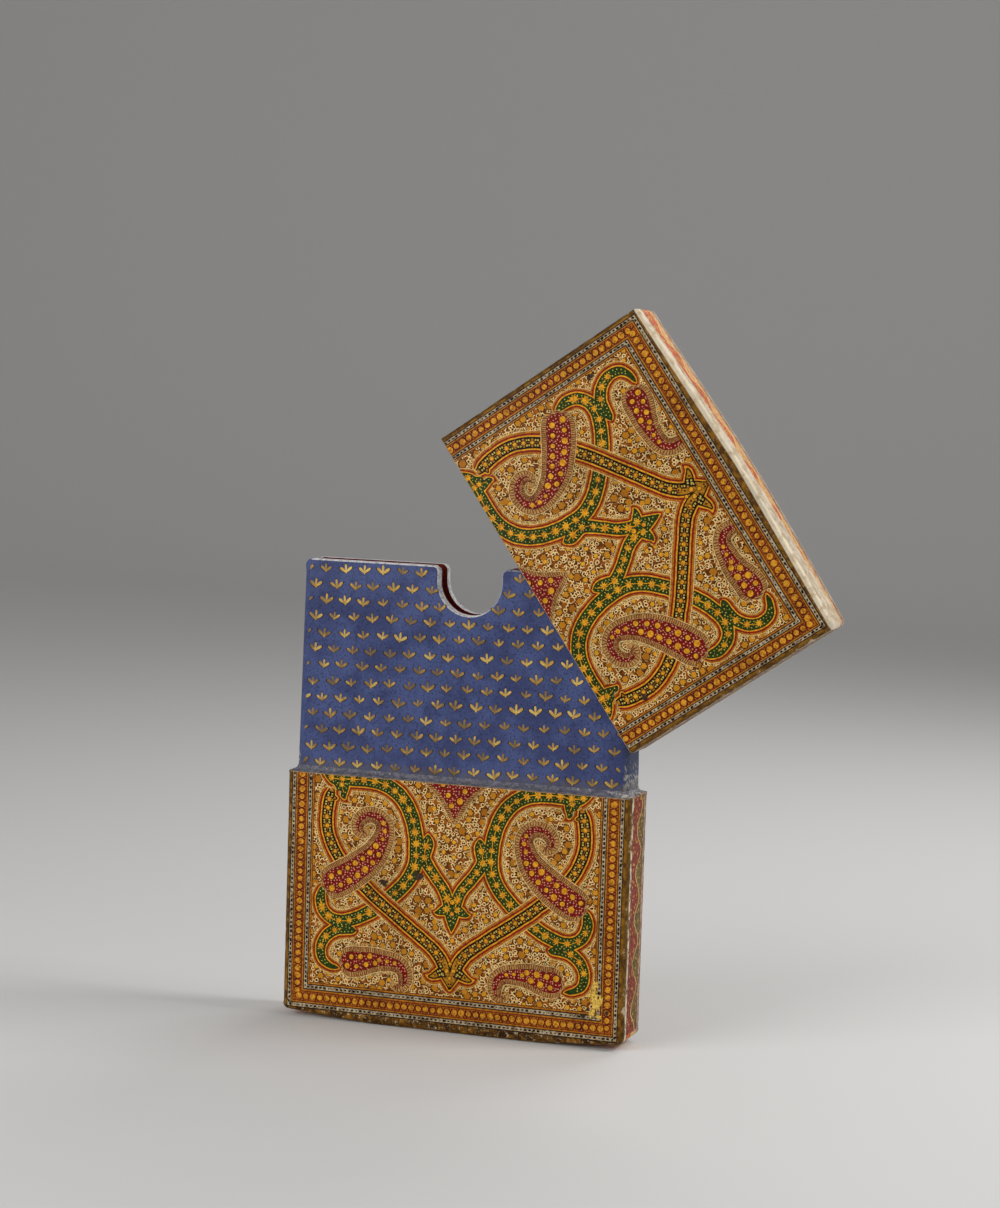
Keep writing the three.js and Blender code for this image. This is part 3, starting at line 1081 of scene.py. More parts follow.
class Mark(Enum):
    """The small flat shapes that are set along strokes, as outlines of half width one."""

    DOT = [wheel(8)]
    BEAD = [wheel(12, 0.93)]
    STAR = [wheel(16, 0.5, 0.5)]
    BLOCK = [box(0.0, 1.0, 0.72)]
    PAIR = [box(-0.46, 0.3, 0.34), box(0.46, 0.3, 0.34)]
    TICK = [[(-0.2, -1.0), (0.2, -1.0), (0.2, 1.0), (-0.2, 1.0)]]
    CROSS = [bar(1.0), bar(-1.0)]
    DASH = [[(-1.0, 0.0), (-0.4, -0.16), (0.4, -0.16), (1.0, 0.0), (0.4, 0.16), (-0.4, 0.16)]]
    SPRIG = [
        leaf((-1.12, 0.3), (0.0, -0.6), 0.26),
        leaf((1.12, 0.3), (0.0, -0.6), 0.26),
        leaf((0.0, 0.86), (0.0, -0.5), 0.2),
        [(-0.3, -0.42), (0.0, -0.94), (0.3, -0.42), (0.0, 0.0)],
    ]

    def pattern(self) -> Object:
        """The mark as an object that Geometry Nodes can copy."""
        mesh = bpy.data.meshes.new(f"mark_{self.name.lower()}")
        points: list[Triple] = []
        faces = []
        for ring in self.value:
            faces.append(tuple(range(len(points), len(points) + len(ring))))
            points.extend((x, y, 0.0) for x, y in ring)
        mesh.from_pydata(points, [], faces)
        return bpy.data.objects.new(mesh.name, mesh)


@dataclass(frozen=True)
class Stroke:
    """One brush stroke: places on one side of the middle, each with half the stroke's width.

    A half width under nothing lies past a pointed tip, where only the outlines reach.
    """

    spots: tuple[Triple, ...]
    both_sides: bool = True

    def dense(self, mirrored: bool) -> np.ndarray:
        """The stroke's centreline as close points, through its places, as u, w and half width.

        Args:
            mirrored: Whether it is drawn on the left instead.

        Returns:
            Its points, on a Catmull-Rom curve.
        """
        knots = np.array(self.spots, float)
        if mirrored:
            knots[:, 0] *= -1
        padded = np.vstack([2 * knots[0] - knots[1], knots, 2 * knots[-1] - knots[-2]])
        path = []
        for a, b, c, d in zip(padded, padded[1:], padded[2:], padded[3:]):
            steps = max(2, math.ceil(np.linalg.norm((c - b)[:2]) / STROKE_STEP))
            for t in np.arange(steps) / steps:
                square = (2 * a - 5 * b + 4 * c - d) * t**2
                cube = (3 * b - a - 3 * c + d) * t**3
                path.append(0.5 * (2 * b + (c - a) * t + square + cube))
        path.append(knots[-1])
        return np.array(path)


@dataclass(frozen=True)
class Band:
    """One outline of a stroke: how far it reaches past the stroke, and its paint."""

    reach: float
    colour: Colour


@dataclass(frozen=True)
class Scatter:
    """A row of small marks along a stroke."""

    shape: Mark
    colour: Colour
    spacing: float
    size: float
    across: float = 0.0
    inset: float = 0.0
    start: float = 0.3
    least: float = 0.3
    most: float = 99.0
    turn: float = 0.0
    uneven: float = 0.15
    clear: float = -1.0

    def numbers(self) -> dict[str, float]:
        """Its numbers under the names of the tree's inputs."""
        return {part.name.capitalize(): getattr(self, part.name) for part in fields(self)[2:]}

    def both(self, later: float = 0.0) -> tuple[Scatter, Scatter]:
        """This row and its image across the stroke, which may start later along it."""
        return self, replace(self, across=-self.across, inset=-self.inset, start=self.start + later)


@dataclass(frozen=True)
class Motif:
    """Strokes of one kind, with their outlines and marks, and single flowers on top."""

    strokes: tuple[Stroke, ...]
    bands: tuple[Band, ...]
    marks: tuple[Scatter, ...]
    flowers: tuple[Triple, ...] = ()
    specks: tuple[Spot, ...] = ()

    def paths(self) -> list[np.ndarray]:
        """The centrelines of all its strokes, those of both sides twice."""
        runs = []
        for stroke in self.strokes:
            runs.append(stroke.dense(False))
            if stroke.both_sides:
                runs.append(stroke.dense(True))
        return runs


MARK_INPUTS = {"Seed": "Int", "Mark": "Object", "Paint": "Material"}


class Painter:
    """Lays strokes, marks and borders on a flat sheet, in Geometry Nodes."""

    def __init__(self, finishes: Finishes) -> None:
        """Builds the three trees, which lay the finishes given here."""
        self.finishes = finishes
        self.patterns: dict[Mark, Object] = {}
        self.band_tree = self.make_band_tree()
        self.mark_tree = self.make_mark_tree()
        self.sprig_tree = self.make_sprig_tree()

    @staticmethod
    def new_tree(name: str, numbers: Sequence[str], others: dict[str, str]) -> tuple[Graph, Outputs]:
        """An empty Geometry Nodes tree.

        Args:
            name: Its name.
            numbers: The names of its number inputs.
            others: The kinds of its other inputs, by name.

        Returns:
            The graph and its inputs.
        """
        tree = bpy.data.node_groups.new(name, "GeometryNodeTree")
        tree.interface.new_socket("Geometry", in_out="OUTPUT", socket_type="NodeSocketGeometry")
        kinds = {"Geometry": "Geometry", **dict.fromkeys(numbers, "Float"), **others}
        for label, kind in kinds.items():
            tree.interface.new_socket(label, in_out="INPUT", socket_type=f"NodeSocket{kind}")
        graph = Graph(tree)
        return graph, graph.node("NodeGroupInput")

    @staticmethod
    def end_tree(graph: Graph, geometry: Value, material: Value) -> NodeTree:
        """Ends a tree in Realize Instances and Set Material.

        Args:
            graph: The graph.
            geometry: What it has made.
            material: The paint.

        Returns:
            The finished tree.
        """
        real = graph.node("GeometryNodeRealizeInstances", None, {"Geometry": geometry})["Geometry"]
        dressed = graph.node("GeometryNodeSetMaterial", None, {"Geometry": real, "Material": material})
        graph.node("NodeGroupOutput", None, {"Geometry": dressed["Geometry"]})
        return graph.tree

    def end_in_copies(self, graph: Graph, given: Outputs, copies: dict[str, Value]) -> NodeTree:
        """Ends a tree in copies of its mark on points.

        Args:
            graph: The graph.
            given: The tree's inputs.
            copies: The points, and where and how the copies stand on them.

        Returns:
            The finished tree.
        """
        mark = graph.node("GeometryNodeObjectInfo", None, {"Object": given["Mark"], "As Instance": True})
        placed = {"Instance": mark["Geometry"], **copies}
        rows = graph.node("GeometryNodeInstanceOnPoints", None, placed)["Instances"]
        return self.end_tree(graph, rows, given["Paint"])

    @staticmethod
    def place(graph: Graph) -> Outputs:
        """The place of each point, split in three."""
        return graph.split(graph.node("GeometryNodeInputPosition")["Position"])

    @staticmethod
    def random(graph: Graph, low: Value | float, high: Value | float, seed: Value) -> Value:
        """A random number between two others for each point."""
        limits = {"Min_001": low, "Max_001": high, "Seed": seed}
        return graph.node("FunctionNodeRandomValue", {"data_type": "FLOAT"}, limits)["Value_001"]

    def make_band_tree(self) -> NodeTree:
        """The tree that turns a centreline into a flat band of paint."""
        graph, given = self.new_tree("painted_band", ["Reach"], {"Paint": "Material"})
        radius = graph.node("GeometryNodeInputRadius")["Radius"] + given["Reach"]
        lost = {"Geometry": given["Geometry"], "Selection": radius.maths("LESS_THAN", 0.01)}
        kept = graph.node("GeometryNodeDeleteGeometry", {"domain": "POINT"}, lost)
        grown = graph.node("GeometryNodeSetCurveRadius", None, {"Curve": kept["Geometry"], "Radius": radius})
        level = graph.node("GeometryNodeSetCurveNormal", {"mode": "Z_UP"}, {"Curve": grown["Curve"]})
        ends = {"Start": (-1.0, 0.0, 0.0), "End": (1.0, 0.0, 0.0)}
        profile = graph.node("GeometryNodeCurvePrimitiveLine", None, ends)["Curve"]
        scale = graph.node("GeometryNodeInputRadius")["Radius"]
        swept = {"Curve": level["Curve"], "Profile Curve": profile, "Scale": scale}
        mesh = graph.node("GeometryNodeCurveToMesh", None, swept)["Mesh"]
        return self.end_tree(graph, mesh, given["Paint"])

    def make_mark_tree(self) -> NodeTree:
        """The tree that sets copies of a mark along a centreline."""
        numbers = ["Spacing", "Size", "Across", "Inset", "Start", "Least", "Most", "Turn", "Uneven", "Clear"]
        graph, given = self.new_tree("painted_marks", numbers, MARK_INPUTS)
        length = graph.node("GeometryNodeSplineLength")["Length"]
        whole = ((length - given["Start"]) / given["Spacing"]).maths("FLOOR")
        last = whole * given["Spacing"] + given["Start"] + 0.01
        ends = {"Curve": given["Geometry"], "Start_001": given["Start"], "End_001": last}
        trimmed = graph.node("GeometryNodeTrimCurve", {"mode": "LENGTH"}, ends)["Curve"]
        even = {"Curve": trimmed, "Length": given["Spacing"]}
        points = graph.node("GeometryNodeResampleCurve", {"mode": "LENGTH"}, even)["Curve"]
        radius = graph.node("GeometryNodeInputRadius")["Radius"]
        tangent = graph.node("GeometryNodeInputTangent")["Tangent"]
        aside = graph.vector("CROSS_PRODUCT", tangent, (0.0, 0.0, 1.0))
        offset = graph.scaled(aside, given["Across"] * radius + given["Inset"])
        allowed = radius.maths("GREATER_THAN", given["Least"]) * radius.maths("LESS_THAN", given["Most"])
        allowed = allowed * self.place(graph)["X"].size().maths("GREATER_THAN", given["Clear"])
        turned = graph.node("FunctionNodeAlignRotationToVector", {"axis": "X"}, {"Vector": tangent})
        spin = self.random(graph, given["Turn"] * -1.0, given["Turn"], given["Seed"])
        about = graph.node("FunctionNodeAxisAngleToRotation", None, {"Axis": (0.0, 0.0, 1.0), "Angle": spin})
        both = {"Rotation": turned["Rotation"], "Rotate By": about["Rotation"]}
        rotation = graph.node("FunctionNodeRotateRotation", {"rotation_space": "LOCAL"}, both)["Rotation"]
        growth = self.random(graph, 1.0 - given["Uneven"], given["Uneven"] + 1.0, given["Seed"] + 1.0)
        held = graph.node("GeometryNodeCaptureAttribute", {"domain": "POINT"}, {"Geometry": points})
        held.node.capture_items.new("ROTATION", "Turned")
        graph.tree.links.new(rotation.socket, held.node.inputs["Turned"])
        moved = {"Geometry": held["Geometry"], "Offset": offset}
        copies = {
            "Points": graph.node("GeometryNodeSetPosition", None, moved)["Geometry"],
            "Selection": allowed,
            "Rotation": held["Turned"],
            "Scale": growth * given["Size"],
        }
        return self.end_in_copies(graph, given, copies)

    def make_sprig_tree(self) -> NodeTree:
        """The tree that sets staggered rows of sprigs and leaves the notch free."""
        numbers = ["Across", "Up", "Lowest", "Notch", "Notch middle", "Notch height", "Growth"]
        graph, given = self.new_tree("sprig_rows", numbers, {"Columns": "Int", "Rows": "Int", **MARK_INPUTS})
        wide = (given["Columns"] - 1.0) * given["Across"]
        high = (given["Rows"] - 1.0) * given["Up"]
        sizes = {"Size X": wide, "Size Y": high, "Vertices X": given["Columns"], "Vertices Y": given["Rows"]}
        grid = graph.node("GeometryNodeMeshGrid", None, sizes)["Mesh"]
        at = self.place(graph)
        row = ((at["Y"] + high * 0.5) / given["Up"]).maths("ROUND")
        odd = row.maths("FLOORED_MODULO", 2.0)
        seed = given["Seed"]
        aside = (odd - 0.5) * given["Across"] * 0.5 + self.random(graph, -0.22, 0.22, seed)
        drift = (at["X"] * 0.09 + row * 1.7).maths("SINE") * 0.16
        lift = high * 0.5 + given["Lowest"] + drift + self.random(graph, -0.16, 0.16, seed + 1.0)
        offset = graph.node("ShaderNodeCombineXYZ", None, {"X": aside, "Y": lift})["Vector"]
        spread = graph.node("GeometryNodeSetPosition", None, {"Geometry": grid, "Offset": offset})
        now = self.place(graph)
        across = now["X"] - given["Notch middle"]
        below = (now["Y"] - given["Notch height"]).maths("MINIMUM", 0.0)
        far = (across * across + below * below).maths("SQRT")
        lost = {"Geometry": spread["Geometry"], "Selection": far.maths("LESS_THAN", given["Notch"])}
        spin = self.random(graph, -0.14, 0.14, seed + 3.0)
        copies = {
            "Points": graph.node("GeometryNodeDeleteGeometry", {"domain": "POINT"}, lost)["Geometry"],
            "Rotation": graph.node("ShaderNodeCombineXYZ", None, {"Z": spin})["Vector"],
            "Scale": self.random(graph, 0.98, 1.28, seed + 4.0) * given["Growth"],
        }
        return self.end_in_copies(graph, given, copies)

    def pattern(self, mark: Mark) -> Object:
        """A mark's object, made once."""
        if mark not in self.patterns:
            self.patterns[mark] = mark.pattern()
        return self.patterns[mark]

    def forget_patterns(self) -> None:
        """Deletes the marks' own objects, which are not part of the case."""
        for pattern in self.patterns.values():
            bpy.data.objects.remove(pattern)
        self.patterns.clear()

    @staticmethod
    def curve(paths: Sequence[np.ndarray]) -> Object:
        """Makes centrelines one curve object.

        Args:
            paths: The centrelines on the flat sheet, as x, y and half width in millimetres.

        Returns:
            The curve object, in the scene.
        """
        data = bpy.data.curves.new("centrelines", "CURVE")
        data.dimensions = "3D"
        for path in paths:
            spline = data.splines.new("POLY")
            spline.points.add(len(path) - 1)
            flat = np.column_stack([path[:, 0], path[:, 1], np.zeros(len(path)), np.ones(len(path))])
            spline.points.foreach_set("co", flat.ravel())
            spline.points.foreach_set("radius", path[:, 2])
        piece = bpy.data.objects.new("centrelines", data)
        bpy.context.scene.collection.objects.link(piece)
        return piece

    @staticmethod
    def discard(carrier: Object) -> None:
        """Deletes a curve object and its curve."""
        data = carrier.data
        bpy.data.objects.remove(carrier)
        bpy.data.curves.remove(data)

    def run(self, carrier: Object, tree: NodeTree, values: dict[str, object]) -> Mesh:
        """Runs a tree on an object and gives the mesh it makes.

        Args:
            carrier: The object.
            tree: The tree.
            values: A value for each named input.

        Returns:
            A plain mesh.
        """
        modifier = carrier.modifiers.new("paint", "NODES")
        modifier.node_group = tree
        sockets = {s.name: s for s in tree.interface.items_tree if s.in_out == "INPUT"}
        for name, value in values.items():
            modifier[sockets[name].identifier] = value
        depsgraph = bpy.context.evaluated_depsgraph_get()
        mesh = bpy.data.meshes.new_from_object(carrier.evaluated_get(depsgraph), depsgraph=depsgraph)
        carrier.modifiers.remove(modifier)
        return mesh


@dataclass(frozen=True)
class Face:
    """A face that takes paint: its side, how far out it lies, and how it leans in up to the lip."""

    side: float
    level: float
    taper: float = 0.0
    lip: float = 1.0

    def laid(self, points: np.ndarray) -> np.ndarray:
        """Places a flat sheet on the face.

        Args:
            points: Points of the sheet, with their lift as the third number.

        Returns:
            The points in the half's frame.
        """
        share = np.clip(points[:, 1] / self.lip, 0.0, 1.0)
        level = self.level - self.taper * share + PAINT_LIFT + points[:, 2]
        return np.column_stack([points[:, 0], self.side * level, points[:, 1]])


class Sheet:
    """A flat sheet of paint in thin layers, laid on a half at the end.

    Paint of one layer doesn't overlap: where two marks meet, the later one shows.
    """

    MERGE_WITHIN = 1e-5
    FLOWER_RIM = 0.12
    SPECK = 0.2

    def __init__(self, painter: Painter) -> None:
        """Starts an empty sheet."""
        self.painter = painter
        self.points: list[np.ndarray] = []
        self.faces: list[tuple[int, ...]] = []
        self.colours: list[Colour] = []
        self.total = 0
        self.seed = 0
        self.cuts: tuple[tuple[tuple[float, ...], tuple[float, ...]], ...] = ()

    def polygon(self, ring: np.ndarray, level: float, colour: Colour) -> None:
        """Adds one flat shape.

        Args:
            ring: Its outline.
            level: The number of its layer.
            colour: Its paint.
        """
        spots = np.column_stack([ring, np.full(len(ring), level * PAINT_LAYER)])
        self.faces.append(tuple(range(self.total, self.total + len(ring))))
        self.colours.append(colour)
        self.points.append(spots)
        self.total += len(ring)

    def merge(self, layer: Sequence[tuple[Mesh, Colour]], level: float) -> None:
        """Adds meshes as one layer without overlaps. The meshes are then deleted.

        Args:
            layer: Flat meshes with their paints, the lowest first.
            level: The number of the layer.
        """
        spots: list[Vector] = []
        faces: list[tuple[int, ...]] = []
        owners: list[int] = []
        for order, (mesh, _) in enumerate(layer):
            start = len(spots)
            spots.extend(Vector(v.co[:2]) for v in mesh.vertices)
            for face in mesh.polygons:
                for ring in self.simple(face.vertices):
                    corners_at = [start + i for i in ring]
                    area = signed_area([spots[i] for i in corners_at])
                    if abs(area) > self.MERGE_WITHIN:
                        faces.append(tuple(corners_at if area > 0 else reversed(corners_at)))
                        owners.append(order)
        flat, _, merged, _, _, sources = geometry.delaunay_2d_cdt(spots, [], faces, 1, self.MERGE_WITHIN)
        colours = [colour for _, colour in layer]
        for ring, whose in zip(merged, sources):
            if whose:
                self.faces.append(tuple(self.total + i for i in ring))
                self.colours.append(colours[max(owners[i] for i in whose)])
        self.points.append(np.array([(*p, level * PAINT_LAYER) for p in flat]))
        self.total += len(flat)
        for mesh, _ in layer:
            bpy.data.meshes.remove(mesh)

    @staticmethod
    def simple(ring: Sequence[int]) -> list[tuple[int, ...]]:
        """A quad as two triangles, which can't cross itself, and any other face as it is."""
        ring = tuple(ring)
        return [ring[:3], (ring[2], ring[3], ring[0])] if len(ring) == 4 else [ring]

    def band(self, carrier: Object, reach: float, level: float, colour: Colour) -> None:
        """Lays a band along a carrier's centrelines."""
        values = {"Reach": reach, "Paint": self.painter.finishes.paint(colour)}
        self.merge([(self.painter.run(carrier, self.painter.band_tree, values), colour)], level)

    def marks(self, carrier: Object, row: Scatter) -> tuple[Mesh, Colour]:
        """Sets a row of marks, each row with a seed of its own.

        Args:
            carrier: The centrelines.
            row: The row.

        Returns:
            The marks as a mesh, and their paint.
        """
        self.seed += 1
        mark, paint = self.painter.pattern(row.shape), self.painter.finishes.paint(row.colour)
        values = {**row.numbers(), "Seed": self.seed, "Mark": mark, "Paint": paint}
        return self.painter.run(carrier, self.painter.mark_tree, values), row.colour

    def rows(self, carrier: Object, rows: Sequence[Scatter], level: float) -> None:
        """Sets rows of marks along a carrier's centrelines in one layer."""
        self.merge([self.marks(carrier, row) for row in rows], level)

    def motif(self, motif: Motif, level: float) -> float:
        """Paints a motif: its outlines, its marks, then its single flowers and specks.

        Args:
            motif: The motif.
            level: Its lowest layer.

        Returns:
            The next free layer.
        """
        carrier = self.painter.curve(motif.paths())
        for band in motif.bands:
            self.band(carrier, band.reach, level, band.colour)
            level += 1
        self.rows(carrier, motif.marks, level)
        self.painter.discard(carrier)
        bead, dot = (np.array(mark.value[0]) for mark in (Mark.BEAD, Mark.DOT))
        for x, w, size in motif.flowers:
            self.polygon(bead * (size + self.FLOWER_RIM) + (x, w), level + 1, Colour.BROWN)
            self.polygon(bead * size + (x, w), level + 2, Colour.GOLD)
        for x, w in motif.specks:
            for side in (-1.0, 1.0):
                self.polygon(dot * self.SPECK + (side * x, w), level + 1, Colour.BLACK)
        return level + 3 if motif.flowers else level + 1

    def wander(self, far: float) -> None:
        """Moves all points a little, as a hand wanders.

        Args:
            far: How far at most, in millimetres.
        """
        for spots in self.points:
            for spot in spots:
                slow = noise.noise_vector(Vector((spot[0] * 0.45, spot[1] * 0.45, 5.0)))
                fast = noise.noise_vector(Vector((spot[0] * 1.6, spot[1] * 1.6, 8.0)))
                spot[:2] += far * (np.array(slow[:2]) + 0.45 * np.array(fast[:2]))

    def trim(self, half_width: float, low: float, high: float) -> None:
        """Cuts off what lies outside a rectangle of the sheet.

        Args:
            half_width: Half the rectangle's width.
            low: Its lower edge.
            high: Its upper edge.
        """
        self.cuts = (
            ((half_width, 0.0, 0.0), (1.0, 0.0, 0.0)),
            ((-half_width, 0.0, 0.0), (-1.0, 0.0, 0.0)),
            ((0.0, low, 0.0), (0.0, -1.0, 0.0)),
            ((0.0, high, 0.0), (0.0, 1.0, 0.0)),
        )

    def lay(self, name: str, axes: Axes, face: Face) -> Object:
        """Lays the sheet on a half.

        Args:
            name: The piece's name.
            axes: The half's frame.
            face: The face that the sheet lies on.

        Returns:
            The piece.
        """
        used = list(dict.fromkeys(self.colours))
        mesh = bpy.data.meshes.new(name)
        mesh.from_pydata([tuple(p) for p in np.vstack(self.points)], [], self.faces)
        mesh.polygons.foreach_set("material_index", [used.index(c) for c in self.colours])
        shape = bmesh.new()
        shape.from_mesh(mesh)
        for spot, way in self.cuts:
            whole = [*shape.verts, *shape.edges, *shape.faces]
            bmesh.ops.bisect_plane(shape, geom=whole, plane_co=spot, plane_no=way, clear_outer=True)
        bmesh.ops.dissolve_degenerate(shape, edges=shape.edges, dist=1e-4)
        bmesh.ops.reverse_faces(shape, faces=[f for f in shape.faces if f.normal.z < 0])
        points = face.laid(np.array([v.co for v in shape.verts]))
        for vertex, point in zip(shape.verts, points):
            vertex.co = point
        shape.normal_update()
        inside_out = [f for f in shape.faces if f.normal.y * face.side < 0]
        bmesh.ops.reverse_faces(shape, faces=inside_out)
        shape.to_mesh(mesh)
        shape.free()
        return settle(mesh, name, axes, [self.painter.finishes.paint(c) for c in used])


GREEN_BANDS = (
    Band(1.3, Colour.CREAM),
    Band(1.15, Colour.OCHRE),
    Band(0.84, Colour.RED),
    Band(0.48, Colour.YELLOW),
    Band(0.22, Colour.BLACK),
    Band(0.14, Colour.GREEN),
)
LADDER_BANDS = (
    Band(1.42, Colour.CREAM),
    Band(1.26, Colour.OCHRE),
    Band(0.86, Colour.RED),
    Band(0.46, Colour.YELLOW),
    Band(0.16, Colour.BLACK),
    Band(-0.14, Colour.RUNG),
)
BOTEH_BANDS = (
    Band(1.3, Colour.CREAM),
    Band(1.14, Colour.RUST),
    Band(1.04, Colour.FRINGE),
    Band(0.12, Colour.RUST),
    Band(0.0, Colour.CRIMSON),
)
EDGE_ROWS = (
    *Scatter(Mark.DOT, Colour.CREAM, 0.86, 0.29, 1.0, 1.6, least=0.02, uneven=0.1).both(),
    *Scatter(Mark.DOT, Colour.BLACK, 0.86, 0.13, 1.0, 1.6, least=0.02, uneven=0.2).both(),
)
GREEN_ROWS = (
    *Scatter(Mark.DOT, Colour.DOT, 0.8, 0.13, -1.0, 0.27, start=0.5, least=0.4, clear=0.2).both(0.25),
    *Scatter(Mark.DOT, Colour.DOT, 1.6, 0.09, -1.0, 0.68, start=0.9, least=0.7, clear=0.2).both(0.25),
    Scatter(Mark.DASH, Colour.YELLOW, 2.4, 0.62, start=1.85, least=0.8, clear=0.5),
    Scatter(Mark.STAR, Colour.GOLD, 2.4, 0.92, start=0.65, least=0.8, turn=3.0, uneven=0.2, clear=1.1),
)
LADDER_ROWS = (
    *Scatter(Mark.BLOCK, Colour.BLACK, 1.86, 0.7, -1.0, 0.46, 1.23, 0.75, uneven=0.0, clear=1.5).both(),
    *Scatter(Mark.PAIR, Colour.DOT, 1.86, 0.54, -1.0, 0.47, 1.23, 0.75, uneven=0.0, clear=1.5).both(),
    Scatter(Mark.BEAD, Colour.BROWN, 1.86, 0.62, least=0.75, turn=3.0, uneven=0.06, clear=1.5),
    Scatter(Mark.STAR, Colour.GOLD, 1.86, 0.62, least=0.75, turn=3.0, uneven=0.1, clear=1.5),
)
BOTEH_ROWS = (
    *Scatter(Mark.TICK, Colour.HATCH, 0.42, 0.42, 1.0, 0.6, start=0.2, least=-0.5, turn=0.3).both(0.1),
    *Scatter(Mark.BEAD, Colour.RUST, 2.1, 0.8, 0.5, 0.0, 1.2, 1.35, turn=3.0, uneven=0.05).both(1.05),
    Scatter(Mark.BEAD, Colour.RUST, 1.7, 0.56, 0.0, 0.0, 1.0, 0.7, 1.35, 3.0, 0.05),
    *Scatter(Mark.BEAD, Colour.GOLD, 2.1, 0.6, 0.5, 0.0, 1.2, 1.35, turn=3.0, uneven=0.2).both(1.05),
    Scatter(Mark.BEAD, Colour.GOLD, 1.7, 0.44, 0.0, 0.0, 1.0, 0.7, 1.35, 3.0, 0.12),
)

GREEN_ARM = (
    (30.0, -0.4, -1.2), (28.6, 0.1, 0.0), (26.2, 0.9, 1.1), (22.5, 0.7, 1.2), (18.0, 0.7, 1.25),
    (14.5, 1.6, 1.25), (11.5, 3.8, 1.25), (9.6, 6.8, 1.25), (8.5, 10.3, 1.25), (8.1, 13.8, 1.25),
    (8.3, 17.3, 1.25), (10.0, 20.8, 1.2), (12.5, 23.5, 1.2), (15.2, 25.9, 1.15), (18.0, 27.9, 1.1),
    (21.0, 29.5, 1.1), (23.8, 30.3, 1.05), (26.4, 30.0, 0.95), (28.2, 28.5, 0.9), (28.9, 26.4, 0.85),
    (28.7, 24.6, 0.6), (28.3, 23.4, 0.0), (27.9, 22.4, -1.3),
)
GREEN_HOOK = (
    (20.2, 32.0, -0.8), (21.4, 32.1, 0.35), (23.2, 32.0, 0.75), (25.4, 32.3, 0.95), (27.5, 33.9, 0.9),
    (28.6, 36.3, 0.8), (28.2, 38.6, 0.65), (26.7, 39.8, 0.4), (24.9, 40.2, 0.05), (23.6, 40.3, -0.9),
)
GREEN_STEM = (
    (5.6, 10.2, -0.6), (5.6, 11.2, 0.35), (5.7, 12.3, 1.0), (6.1, 13.8, 1.15), (6.3, 15.5, 1.05),
    (5.3, 17.4, 0.95), (3.7, 19.5, 0.9), (2.1, 21.5, 0.9), (1.1, 23.6, 0.95), (0.5, 26.0, 0.95),
    (0.1, 28.4, 0.6), (0.0, 30.1, 0.0), (0.0, 31.6, -1.1),
)
GREEN_LEAF = ((0.6, 25.4, 0.9), (1.9, 26.1, 0.7), (3.0, 26.6, 0.3), (3.8, 26.6, -0.15), (4.6, 26.2, -1.0))
GREEN_LOBE = (
    (25.0, 1.4, 1.6), (24.6, 2.8, 1.1), (24.4, 4.0, 0.55), (24.1, 4.9, 0.0), (23.4, 5.5, -0.75),
    (22.6, 5.6, -1.1),
)
LADDER_ARM = (
    (27.0, 3.1, 0.45), (27.1, 3.7, 0.7), (27.4, 4.9, 0.98), (27.8, 7.3, 1.02), (27.9, 10.3, 1.0),
    (27.2, 13.3, 1.0), (25.6, 16.4, 1.0), (23.4, 19.1, 1.0), (21.0, 21.4, 1.0), (18.7, 23.3, 1.0),
    (16.2, 25.3, 1.0), (13.0, 27.6, 1.0), (9.5, 30.1, 1.0), (6.0, 32.6, 1.0), (3.4, 34.6, 1.05),
    (1.7, 36.8, 1.1), (0.9, 39.2, 1.0), (0.3, 41.0, 0.5), (0.1, 42.3, -0.1), (0.0, 43.2, -1.0),
)
LADDER_LEAF = ((1.2, 38.2, 1.0), (2.7, 39.3, 0.75), (4.1, 39.9, 0.35), (5.1, 39.8, -0.15), (6.1, 39.3, -1.0))
LADDER_SPUR = ((27.2, 4.8, 0.9), (26.4, 4.9, 0.4), (25.7, 5.0, 0.0), (25.1, 5.1, -0.7))
BOTEH_TALL = (
    (28.9, 23.8, -1.3), (28.1, 23.4, 0.0), (27.8, 23.3, 1.2), (27.1, 22.9, 2.0), (25.8, 22.2, 2.4),
    (23.8, 21.1, 2.45), (21.4, 19.5, 2.3), (18.5, 17.2, 2.0), (16.4, 14.6, 1.5), (15.3, 12.1, 1.1),
    (15.1, 9.9, 0.8), (16.2, 8.3, 0.62), (18.0, 7.7, 0.5), (19.9, 8.3, 0.42), (21.0, 9.8, 0.3),
    (20.8, 11.2, 0.1), (19.7, 11.9, -0.25), (18.8, 11.3, -0.6), (18.7, 10.7, -0.9),
)
BOTEH_LOW = (
    (24.9, 38.5, -1.2), (23.9, 38.6, 0.0), (23.6, 38.6, 1.1), (22.8, 38.6, 1.75), (21.6, 38.6, 2.05),
    (19.5, 38.3, 1.85), (17.0, 37.8, 1.45), (14.5, 37.7, 1.05), (12.2, 37.9, 0.8), (10.6, 38.7, 0.65),
    (9.8, 40.1, 0.5), (9.8, 41.6, 0.3), (10.4, 42.7, 0.0), (11.4, 43.0, -0.35), (12.4, 42.4, -0.6),
    (12.4, 41.5, -0.95),
)
BOTEH_BELL = (
    (0.0, -2.0, 7.4), (0.0, -0.8, 6.4), (0.0, 0.4, 5.2), (0.0, 1.6, 3.8), (0.0, 2.8, 2.6),
    (0.0, 4.0, 1.7), (0.0, 5.4, 0.9), (0.0, 7.0, 0.0), (0.0, 8.8, -1.4),
)
GREEN_FLOWERS = ((0.0, 24.2, 0.5), (0.0, 26.6, 0.42))
LADDER_FLOWERS = ((-0.75, 38.4, 0.46), (0.75, 38.4, 0.46), (0.0, 39.9, 0.42), (0.0, 36.9, 0.35))
